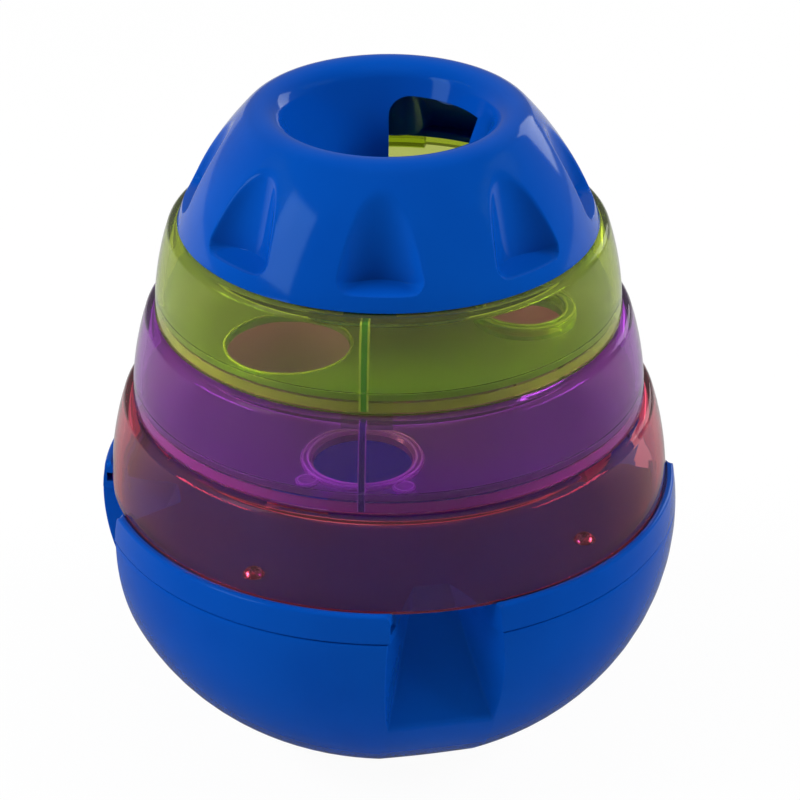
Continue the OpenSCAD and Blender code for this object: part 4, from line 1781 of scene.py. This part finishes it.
@dataclass(frozen=True)
class Backdrop:
    """How the floor or the world shows: white in plain sight, pale to dim in mirrors."""

    glow: str
    across: str
    far: float
    pale: float
    white_share: float = 1.0
    near: float = -0.1
    dim: float = 0.05

    @staticmethod
    def in_sight(tree: Tree, path: Node) -> Socket:
        """Tell where the backdrop is seen, plainly or through clear plastic.

        Args:
            tree: The tree of the floor or of the world.
            path: Its Light Path node.

        Returns:
            One for a ray that shows the backdrop, and nought for one that only carries its light.
        """
        seen, lit = tree.nodes.new("ShaderNodeMath"), tree.nodes.new("ShaderNodeMath")
        seen.operation, lit.operation, lit.use_clamp = "MAXIMUM", "SUBTRACT", True
        tree.links.new(path.outputs["Is Camera Ray"], seen.inputs[0])
        tree.links.new(path.outputs["Is Transmission Ray"], seen.inputs[1])
        tree.links.new(seen.outputs[0], lit.inputs[0])
        tree.links.new(path.outputs["Diffuse Depth"], lit.inputs[1])
        return lit.outputs[0]

    def sweep(self, tree: Tree) -> Socket:
        """Grey level in mirrors, pale behind the tower and dim on the camera's side.

        Args:
            tree: The tree of the floor or of the world.

        Returns:
            The level.
        """
        where, split = tree.nodes.new("ShaderNodeTexCoord"), tree.nodes.new("ShaderNodeSeparateXYZ")
        span = tree.nodes.new("ShaderNodeMapRange")
        span.interpolation_type = "SMOOTHSTEP"
        ends = {"From Min": self.near, "From Max": self.far, "To Min": self.dim, "To Max": self.pale}
        for name, end in ends.items():
            span.inputs[name].default_value = end
        tree.links.new(where.outputs[self.across], split.inputs[0])
        tree.links.new(split.outputs["Y"], span.inputs["Value"])
        return span.outputs["Result"]

    def show(self, tree: Tree, lit: Socket, surface: Socket) -> None:
        """Put the backdrop's two looks over its lit one.

        Args:
            tree: The tree of the floor or of the world.
            lit: The shader that carries its light.
            surface: The input that takes the result.
        """
        nodes, link = tree.nodes, tree.links.new
        path, share = nodes.new("ShaderNodeLightPath"), nodes.new("ShaderNodeMath")
        white, back = nodes.new(self.glow), nodes.new(self.glow)
        shown, mirrored = nodes.new("ShaderNodeMixShader"), nodes.new("ShaderNodeMixShader")
        for glow in (white, back):
            glow.inputs["Color"].default_value = WHITE
            glow.inputs["Strength"].default_value = 1.0
        share.operation = "MULTIPLY"
        share.inputs[1].default_value = self.white_share
        link(self.in_sight(tree, path), share.inputs[0])
        link(share.outputs[0], shown.inputs["Fac"])
        link(lit, shown.inputs[1])
        link(white.outputs[0], shown.inputs[2])
        link(self.sweep(tree), back.inputs["Strength"])
        link(path.outputs["Is Glossy Ray"], mirrored.inputs["Fac"])
        link(shown.outputs[0], mirrored.inputs[1])
        link(back.outputs[0], mirrored.inputs[2])
        link(mirrored.outputs[0], surface)


@dataclass(frozen=True)
class Studio:
    """Plain white studio: floor, world, softboxes and the camera."""

    eye: tuple[float, float, float] = (2.93, -698.3, 480.8)
    sight: tuple[float, float, float] = (0.0, 0.8729, -0.4879)
    lens: float = 137.38
    sensor: float = 36.0
    clip_end: float = 50.0
    floor_half: float = 6.0
    floor_grey: float = 0.92
    floor_rough: float = 0.9
    ambient: float = 0.08
    target: tuple[float, float, float] = (0.0, 0.0, 0.09)
    table: Backdrop = Backdrop("ShaderNodeEmission", "Object", 0.25, 0.65, 0.96)
    wall: Backdrop = Backdrop("ShaderNodeBackground", "Generated", 0.8, 0.22)
    lamps: tuple[SoftBox, ...] = (
        SoftBox("left wall of light", -84.0, 34.0, 1.4, 0.9, 0.28, 23.0),
        SoftBox("right wall of light", 88.0, 34.0, 1.4, 0.9, 0.28, 20.0),
        SoftBox("top light", 0.0, 80.0, 0.9, 0.6, 0.6, 1.8),
        SoftBox("left strip", -61.0, 27.0, 0.9, 0.3, 0.42, 2.0, True),
        SoftBox("right strip", 140.0, 20.0, 0.9, 0.3, 0.4, 2.0, True),
    )

    def camera(self) -> None:
        """Set the camera where the photograph was taken."""
        view = bpy.data.cameras.new("camera")
        view.lens, view.sensor_width, view.clip_end = self.lens, self.sensor, self.clip_end
        holder = bpy.data.objects.new("camera", view)
        holder.location = Vector(self.eye) * MM
        holder.rotation_euler = Vector(self.sight).to_track_quat("-Z", "Y").to_euler()
        bpy.context.scene.collection.objects.link(holder)
        bpy.context.scene.camera = holder

    def floor(self) -> None:
        """Lay the pale floor, which shows white and keeps a soft shadow."""
        half, grey = self.floor_half, self.floor_grey
        mesh = bpy.data.meshes.new("floor")
        corners = [(-half, -half, 0), (half, -half, 0), (half, half, 0), (-half, half, 0)]
        mesh.from_pydata(corners, [], [(0, 1, 2, 3)])
        tree = PaintTree("white floor")
        tree.dress({}, {
            "Base Color": (grey, grey, grey, 1.0), "Roughness": self.floor_rough, "Specular IOR Level": 0.0,
        })
        self.table.show(tree.paint.node_tree, tree.skin.outputs[0], tree.out.inputs["Surface"])
        mesh.materials.append(tree.paint)
        Workbench.place(mesh, "floor")

    def world(self) -> None:
        """Light the world at a plain level and show it white."""
        world = bpy.data.worlds.new("studio")
        bpy.context.scene.world = world
        world.use_nodes = True
        nodes = world.node_tree.nodes
        plain = nodes["Background"]
        plain.inputs["Color"].default_value = WHITE
        plain.inputs["Strength"].default_value = self.ambient
        self.wall.show(world.node_tree, plain.outputs[0], nodes["World Output"].inputs["Surface"])

    def build(self) -> None:
        """Set up the whole studio."""
        scene = bpy.context.scene
        scene.view_settings.view_transform = "Standard"
        scene.cycles.transparent_max_bounces = 32
        self.camera()
        self.floor()
        self.world()
        for box in self.lamps:
            box.hang(Vector(self.target))
        log.info("studio ready")


@dataclass(frozen=True)
class Tower:
    """The whole tower, built body by body."""

    stack: Stack = Stack()
    lock_turn: float = -5.0
    foot_lock_turn: float = 55.0

    def build_tiers(self, cap: FunnelCap) -> None:
        """Build the three clear tiers.

        Args:
            cap: The cap that locks on the upper tier.
        """
        stack, lock, foot_lock = self.stack, self.lock_turn, self.foot_lock_turn
        upper = ClearTier(
            "upper_tier", 2, stack, cap.socket_r, cap.neck_h, lock, Finish.LIME, "clear_lime",
            Finish.LIME_RIB_SHADE, Finish.LIME_GLINT_RING,
        )
        upper.build_wall()
        holes = (TreatHole(40.5, -37.0, 30.0), TreatHole(38.3, 62.0, 20.0, 3.0, 3.0))
        TierFloor(upper, Finish.LIME_SATIN_TEAL_REFLECTION, Finish.LIME_COLLAR, Finish.LIME_GLINT_RING, holes, lock).build()
        middle = ClearTier(
            "middle_tier", 1, stack, stack.floor_seat_r(2), stack.neck_h, lock, Finish.PURPLE, "clear_purple",
            Finish.PURPLE_RIB_SHADE, Finish.PURPLE_GLINT_RING, 0.25,
        )
        middle.build_wall()
        middle.dress_neck(Finish.PURPLE_NECK)
        holes = (TreatHole(48.0, -7.5, 24.5, 3.0, 0.8, 0.7),)
        TierFloor(
            middle, Finish.PURPLE_SATIN, Finish.PURPLE_COLLAR, Finish.PURPLE_GLINT_RING, holes, foot_lock, 44.5
        ).build()
        seat = stack.floor_seat_r(1)
        lower = LowerTier("lower_tier", 0, stack, seat, stack.neck_h, foot_lock, Finish.RED, "clear_red")
        lower.build_wall()
        lower.dress_neck(Finish.RED_NECK)

    def build(self, frame: dict) -> None:
        """Build every piece.
        """
        cap = FunnelCap(self.stack, Finish.BLUE, self.lock_turn)
        cap.build()
        self.build_tiers(cap)
        base = Mount("base", "blue_plastic")
        bowl = BaseBowl(Chute(), Finish.BLUE, base)
        bowl.build()
        BaseDeck(bowl, self.stack, Finish.BLUE, base).build()
        DeckScrews(Finish.STEEL, Mount("base", "screw_steel")).build()
        ballast = frame["nodes"]["ballast_weight"]
        ballast.data.materials.clear()
        ballast.data.materials.append(Finish.IRON.paint())
        log.info("ballast_weight keeps its CAD shape")


def main() -> None:
    """Load the frame, build the tower and the studio."""
    logging.basicConfig(level=logging.INFO, format="%(name)s: %(message)s")
    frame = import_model()
    Studio().build()
    Tower().build(frame)


if __name__ == "__main__":
    main()
